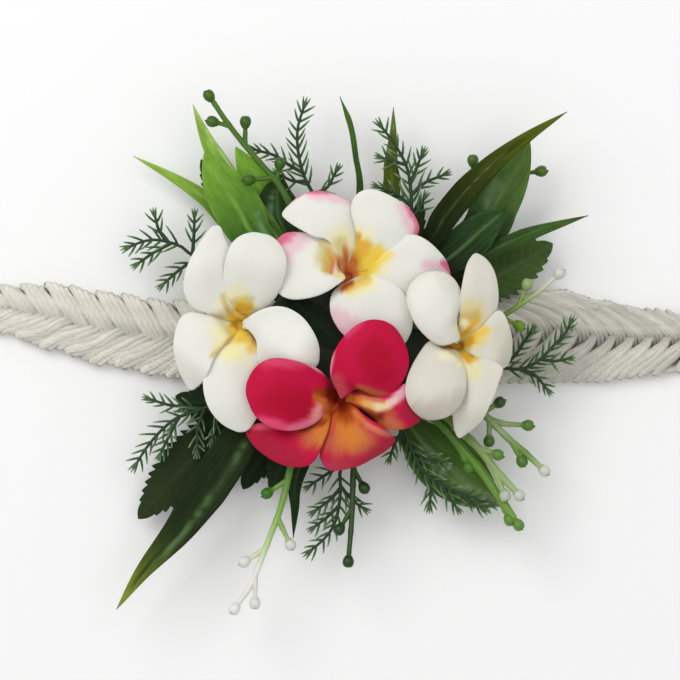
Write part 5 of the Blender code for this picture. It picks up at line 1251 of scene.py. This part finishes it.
def add_leaf(heap, name, route, width, shape, rise, wave, toothed=False, stem=STEM_HALF):
    """A leaf on a route from its root to its tip; its halves rise from the midrib and its edges wave."""
    length = curve_length(route)
    shares, gaps = leaf_shares(length, toothed)
    place, tangent, _ = trace(route, shares)
    outline, *form = shape
    narrowing = stem * (1 - STEM_NARROWING * smoothstep((shares - LEAF_POINT) / (1 - LEAF_POINT)))
    half = np.maximum(narrowing, width / 2 * outline(shares, *form))
    side = unit(np.stack([tangent[:, 1], -tangent[:, 0], np.zeros(len(shares))], -1))
    normal = np.cross(side, tangent)
    normal *= np.sign(normal[:, 2])[:, None]
    v, h = fine_ends(LEAF_COLUMNS)[None, :], half[:, None]
    cut = 1 - TOOTH_DEPTH * gaps[:, None] * smoothstep((np.abs(v) - TOOTH_ROOT) / (1 - TOOTH_ROOT))
    ripple = wave * np.abs(v) ** 1.5 * np.sin(LEAF_WAVES * shares[:, None] + v) * np.minimum(1.0, h / 4)
    crown = h * rise * (np.sqrt(v * v + 0.01) - 0.1) + RIB_RISE * bell(v * h, 0.5) * (h > stem * 1.2)
    across = h * v * cut
    middle = place[:, None] + side[:, None] * across[..., None]
    middle = middle + normal[:, None] * (crown + ripple)[..., None]
    thick = blend(STEM_THICK, LEAF_THICK, smoothstep((half - stem) / 2))[:, None]
    thick = thick * np.sqrt(1 - np.abs(v) ** 8) * np.ones_like(h)
    flat = np.stack(np.broadcast_arrays(across, shares[:, None] * length), -1)
    add_sheet(heap, middle, thick, flat, leaf_tint(name, shares, v, across, half, stem))


def leaves():
    fresh = leaf_skin("fresh leaf", roughness=0.45, shine=0.12, mottle=0.2, veins=1.3), "fresh_leaf"
    deep = leaf_skin("deep leaf", roughness=0.42, shine=0.08, mottle=0.22, veins=1.5), "deep_leaf"
    cloth = leaf_cloth("cloth leaf"), "toothed_leaf"
    # each family's outline, how far the halves of its leaves rise and how far their edges wave
    for table, shape, rise, wave in (
        (LONG_BLADES, (long_shape, LONG_TAPER), 0.12, 0.15),
        (BROAD_LEAVES, (oval_shape, 0.12, 1.12, 0.8), 0.07, 0.35),
        (TOOTHED_LEAVES, (oval_shape, 0.16, 1.1, 0.76), 0.05, 0.25),
    ):
        for name, (layer, width, plan) in table.items():
            heap = Heap()
            if name in BLUNT_TAPERS:
                form = (long_shape, BLUNT_TAPERS[name])
            else:
                form = shape
            toothed = table is TOOTHED_LEAVES
            add_leaf(heap, name, rooted(plan[::-1], layer, STEM_HALF), width, form, rise, wave, toothed)
            look, slot = fresh if name in FRESH_LEAVES else cloth if toothed else deep
            heap.piece(name + "_blade", look, slot, name)
    width, line = TUCKED_LEAF
    heap = Heap()
    add_leaf(heap, "tucked_leaf", line, width, (tucked_shape,), 0.06, 0.0, stem=0.6)
    heap.piece("tucked_leaf_blade", *cloth, "tucked_leaf")


def add_needle(heap, root, heading, reach, bend, rng):
    """One curved needle that turns by bend about the vertical as it goes out."""
    shares, sizes = np.transpose(NEEDLE_FORM)
    places = [np.array(root)]
    for before, share in zip(shares, shares[1:]):
        turn = bend * share
        across = np.array([-heading[1], heading[0], 0.0])
        step = heading * math.cos(turn) + across * math.sin(turn)
        places.append(places[-1] + step * reach * (share - before))
    foot, middle, tip = np.array(NEEDLE_TINTS)
    tint = blend(middle, tip, smoothstep((shares - 0.45) / 0.55)[:, None])
    tint[0] = foot
    add_pipe(heap, places, sizes, 5, np.clip(tint * rng.uniform(0.85, 1.12), 0, 1))


def add_needle_stalk(heap, route, radius, bare, reach, rng):
    """A stalk with a needle on each side at every pitch past its bare part, shorter towards the tip."""
    shares = np.linspace(0, 1, 22)
    place, tangent, length = trace(route, shares)
    add_pipe(heap, place, blend(radius * 1.2, STALK_TIP_RADIUS, shares), 7, STALK_TINT)
    count = max(2, round((length - bare) / NEEDLE_PITCH))
    marks = (bare + (length - bare) * (np.arange(count) + 0.5) / count) / length
    spots, headings, _ = trace(route, marks)
    for k, (spot, heading) in enumerate(zip(spots, headings)):
        for c, sign in enumerate((1, -1)):
            lean = NEEDLE_LEAN * rng.uniform(*LEAN_RANGE) * sign
            turned = Matrix.Rotation(lean, 3, "Z") @ Vector(heading)
            tilt = (0.14 if (k + c) % 2 else -0.08) + rng.uniform(-0.05, 0.05)
            out = unit(np.array([turned.x, turned.y, turned.z + tilt]))
            long = reach * (1 - NEEDLE_SHORTENING * k / count) * rng.uniform(*REACH_RANGE)
            add_needle(heap, spot, out, long, -NEEDLE_BEND * sign * rng.uniform(*BEND_RANGE), rng)
    for lean in END_LEANS:
        turned = Matrix.Rotation(lean, 3, "Z") @ Vector(tangent[-1])
        add_needle(heap, place[-1], np.array(turned), reach * END_NEEDLE, 0.0, rng)


def curve_length(route):
    return measured(route)[1][-1]


def needle_sprigs():
    look = smooth_plastic("needle plastic", roughness=0.5, mottle=0.12, grain=700, depth=0.08)
    for k, (name, (layer, plans)) in enumerate(NEEDLE_SPRIGS.items()):
        rng = np.random.default_rng(NEEDLE_SEED + k)
        heap = Heap()
        main = rooted(plans[0], layer, STALK_RADIUS)
        add_needle_stalk(heap, main, STALK_RADIUS, curve_length(main[:3]), NEEDLE_REACH, rng)
        for plan in plans[1:]:
            side = on_layer(plan, layer)
            reach = NEEDLE_REACH * SIDE_NEEDLE
            add_needle_stalk(heap, side, STALK_RADIUS * SIDE_STALK, SIDE_STALK_BARE, reach, rng)
        heap.piece(name + "_needles", look, "needle_sprig", name)


def add_berry_stem(heap, route, radius, shades, berry, rng):
    """A round stem with faint joints that swells into a berry at its end. Its tint goes by distance."""
    length = curve_length(route)
    shares = np.linspace(0, 1, max(10, round(length / 1.3)))
    place, tangent, _ = trace(route, shares)
    joints = (shares * length) % JOINT_PITCH - JOINT_PITCH / 2
    size = blend(radius, radius * BERRY_STEM_TAPER, shares) * (1 + JOINT_SWELL * bell(joints, JOINT_LENGTH))
    bud = [place[-1] + tangent[-1] * (BERRY_RADIUS * (out + 1.5)) for out, _ in BERRY_FORM]
    size = np.concatenate([size, [BERRY_RADIUS * wide for _, wide in BERRY_FORM]])
    apart = np.hypot(place[:, 0] - KNOT_CENTRE[0], place[:, 1] - KNOT_CENTRE[1])
    stem = read_off(apart, [mark for mark, _ in shades], [tint for _, tint in shades])
    shade = np.vstack([stem, np.tile(np.array(berry), (len(BERRY_FORM), 1))])
    # the calyx keeps the stem's green
    shade[len(stem):len(stem) + 4] = blend(stem[-1], np.array(berry), 0.35)
    shade[-3:] *= 0.9
    add_pipe(heap, np.vstack([place, bud]), size, 12, np.clip(shade * rng.uniform(0.96, 1.04), 0, 1))


def berry_sprays():
    look = smooth_plastic("berry plastic", roughness=0.3, mottle=0.07, grain=500, depth=0.06)
    for spray, (name, (layer, radius, plans)) in enumerate(BERRY_SPRAYS.items()):
        rng = np.random.default_rng(BERRY_SEED + spray)
        heap = Heap()
        shades, berries = BERRY_TINTS[name]
        routes = [rooted(plans[0], layer, radius), *(on_layer(plan, layer) for plan in plans[1:])]
        for k, route in enumerate(routes):
            add_berry_stem(heap, route, radius * (SIDE_STEM if k else 1), shades, berries[k], rng)
        heap.piece(name + "_stems", look, "berry_spray", name)


def petal_grid(throat, row, fold):
    """Places of a petal's middle surface, with its shares outwards and v across, -1 on its first edge."""
    middle, tip, tilt, dome, first, second = row
    spread = np.array(first[1:-1] + second[1:]).mean(axis=0)
    out = unit(spread - throat[:2]) * PETAL_ROOT
    shares = np.sin(np.linspace(0, 1, PETAL_ROWS) * math.pi / 2) ** 1.1 * 0.996
    edges = []
    for turn, plan in ((PETAL_ROOT_TURN, first), (-PETAL_ROOT_TURN, [*second, first[-1]])):
        turned = np.array(Matrix.Rotation(turn, 2) @ Vector(out))
        root = np.array(fold) + turned * FOLDED_ROOT if fold else throat[:2] + turned
        edges.append(trace([(x, y, 0.0) for x, y in (root, *plan)], shares, OUTLINE_EASE)[0])
    v = fine_ends(PETAL_COLUMNS)[None, :]
    grid = edges[0][:, None] * (1 - v[..., None]) / 2 + edges[1][:, None] * (1 + v[..., None]) / 2
    rises = FOLDED_RISE if fold else BOWL_RISE
    marks = [(at, throat[2] + rise) for at, rise in rises] + [(PETAL_MIDDLE, middle), (1.0, tip)]
    height = np.zeros(PETAL_ROWS)
    for (s0, z0), (s1, z1) in zip(marks, marks[1:]):
        inside = (shares >= s0) & (shares <= s1)
        height[inside] = blend(z0, z1, smoothstep((shares[inside] - s0) / (s1 - s0)))
    s = shares[:, None]
    reach = smoothstep(s / 0.4) * (1 - s**4)
    grid[..., 2] = height[:, None] + reach * (dome * (1 - v * v) - tilt * v)
    # each petal lies over the one before it right down into the bowl, and a low ridge runs round its rim
    grid[..., 2] -= 0.5 * v * (1 - smoothstep(s / 0.35))
    rim = np.clip(1 - (1 - np.abs(v)) / RIM_WIDTH, 0, 1)
    grid[..., 2] += smoothstep((s - 0.25) / 0.3) * (RIM_RISE * rim**2 - 0.3 * np.abs(v) ** 24)
    grid[..., 2] += PETAL_RIPPLE * reach * np.sin(v * 5.3 + middle)
    return grid, s * np.ones_like(v), v * np.ones_like(s)


def painted(grid, throat, base, strokes):
    """Tints of a grid: soft strokes of paint over the base, whose edges break into rays from the throat."""
    tint = np.ones(grid.shape) * np.array(base)
    plan = grid[..., :2]
    away = plan - throat[:2]
    turn = np.arctan2(away[..., 1], away[..., 0])
    ray = sum(size * np.sin(turn * count + shift) for size, count, shift in RAYS)
    for x0, y0, x1, y1, full, gone, colour in strokes:
        start = np.array((x0, y0))
        line = np.array((x1, y1)) - start
        share = np.clip(((plan - start) @ line) / max(1e-9, line @ line), 0, 1)
        apart = np.linalg.norm(plan - start - share[..., None] * line, axis=-1)
        apart = apart + RAY_DEPTH * (gone - full) * ray
        weight = 1 - smoothstep((apart - full) / (gone - full))
        tint = blend(tint, np.array(colour), weight[..., None])
    return tint


def add_bloom_foot(heap, name, throat, foot):
    """The funnel in the bloom's middle, the post on the knot, and the stem between them."""
    profile = np.array(FUNNEL)
    rings = np.array([(*throat[:2], throat[2] + height) for height in profile[:, 0]])
    add_pipe(heap, rings, profile[:, 1], 28, FUNNEL_TINTS[name], level=True)
    base = np.array((*foot, KNOT_TOP + GAP))
    top = base + (0, 0, POST_HEIGHT)
    add_pipe(heap, [base, top], POST_RADIUS, 20, POST_TINT, level=True)
    shares = np.linspace(0, 1, 9)
    stem, _, _ = trace([top - (0, 0, BLOOM_STEM), throat - (0, 0, 6.6), throat - (0, 0, 4.9)], shares)
    add_pipe(heap, stem, blend(BLOOM_STEM, 1.2, shares), 14, POST_TINT)


def blooms():
    white = foam("white foam", grain=0.03, shine=0.5), "white_petal"
    pink = foam("pink foam", grain=0.11, shine=0.08), "pink_petal"
    for name, (throat, foot, petals) in BLOOMS.items():
        throat = np.array(throat)
        heap = Heap()
        for k, row in enumerate(petals):
            fold = FOLDED_BASES.get((name, k))
            grid, share, v = petal_grid(throat, row, fold)
            thinning = 1 - smoothstep((share - 0.94) / 0.06) * 0.9
            half = PETAL_THICK / 2 * np.sqrt(1 - np.abs(v) ** 12) * np.sqrt(thinning)
            tint = painted(grid, throat, BLOOM_BASE[name], STROKES[name][k])
            length = np.linalg.norm(grid[-1, 0] - grid[0, 0])
            add_sheet(heap, grid, half, np.stack([v * 10, share * length], -1), tint)
            if fold:
                centre = PETAL_COLUMNS // 2
                inward = unit(throat[:2] - grid[14, centre, :2])
                neck = [grid[12, centre] - (0, 0, 1.3), (*(throat[:2] - inward * 1.5), throat[2] - 2.6)]
                add_pipe(heap, neck, 0.9, 10, tint[9, centre])
        add_bloom_foot(heap, name, throat, foot)
        look, slot = pink if name == "plumeria_pink" else white
        heap.piece(name + "_bloom", look, slot, name, angle=70)


def studio():
    """Pale floor, soft light from the upper left, and a camera straight above, as in the photograph."""
    mesh = bpy.data.meshes.new("floor")
    far, low = 3.0, -5e-5
    corners = [(-far, -far, low), (far, -far, low), (far, far, low), (-far, far, low)]
    mesh.from_pydata(corners, [], [range(4)])
    look = bpy.data.materials.new("pale floor")
    look.use_nodes = True
    shader = look.node_tree.nodes["Principled BSDF"]
    shader.inputs["Base Color"].default_value = (0.96, 0.96, 0.96, 1.0)
    shader.inputs["Roughness"].default_value = 0.9
    mesh.materials.append(look)
    floor = placed("floor", mesh)

    for name, place, size, power in (
        ("key light", (-0.5, 0.55, 1.0), 0.7, 5.9),
        ("top light", (0.25, 0.1, 1.2), 0.9, 3.0),
    ):
        lamp = bpy.data.lights.new(name, "AREA")
        lamp.size = size
        lamp.energy = power
        thing = placed(name, lamp)
        thing.location = place
        thing.rotation_euler = Vector(place).to_track_quat("Z", "Y").to_euler()
    world = bpy.data.worlds.new("soft room")
    world.use_nodes = True
    air = world.node_tree.nodes["Background"]
    air.inputs["Color"].default_value = (1.0, 1.0, 1.0, 1.0)
    air.inputs["Strength"].default_value = 0.55
    bpy.context.scene.world = world
    bpy.context.scene.view_settings.view_transform = "Standard"

    camera = placed("camera", bpy.data.cameras.new("camera"))
    camera.location = (0.0, 0.0, CAMERA_HEIGHT)
    camera.data.sensor_width = CAMERA_SENSOR
    camera.data.lens = CAMERA_SENSOR * CAMERA_HEIGHT / PHOTO_WIDTH
    camera.data.clip_end = 10.0
    bpy.context.scene.camera = camera


studio()
felt_pad()
braided_band()
binding_look = fibre("wound cord")
end_binding("left_cord_binding", "end_binding_left", -1, binding_look)
end_binding("right_cord_binding", "end_binding_right", 1, binding_look)
stem_knot()
leaves()
needle_sprigs()
berry_sprays()
blooms()
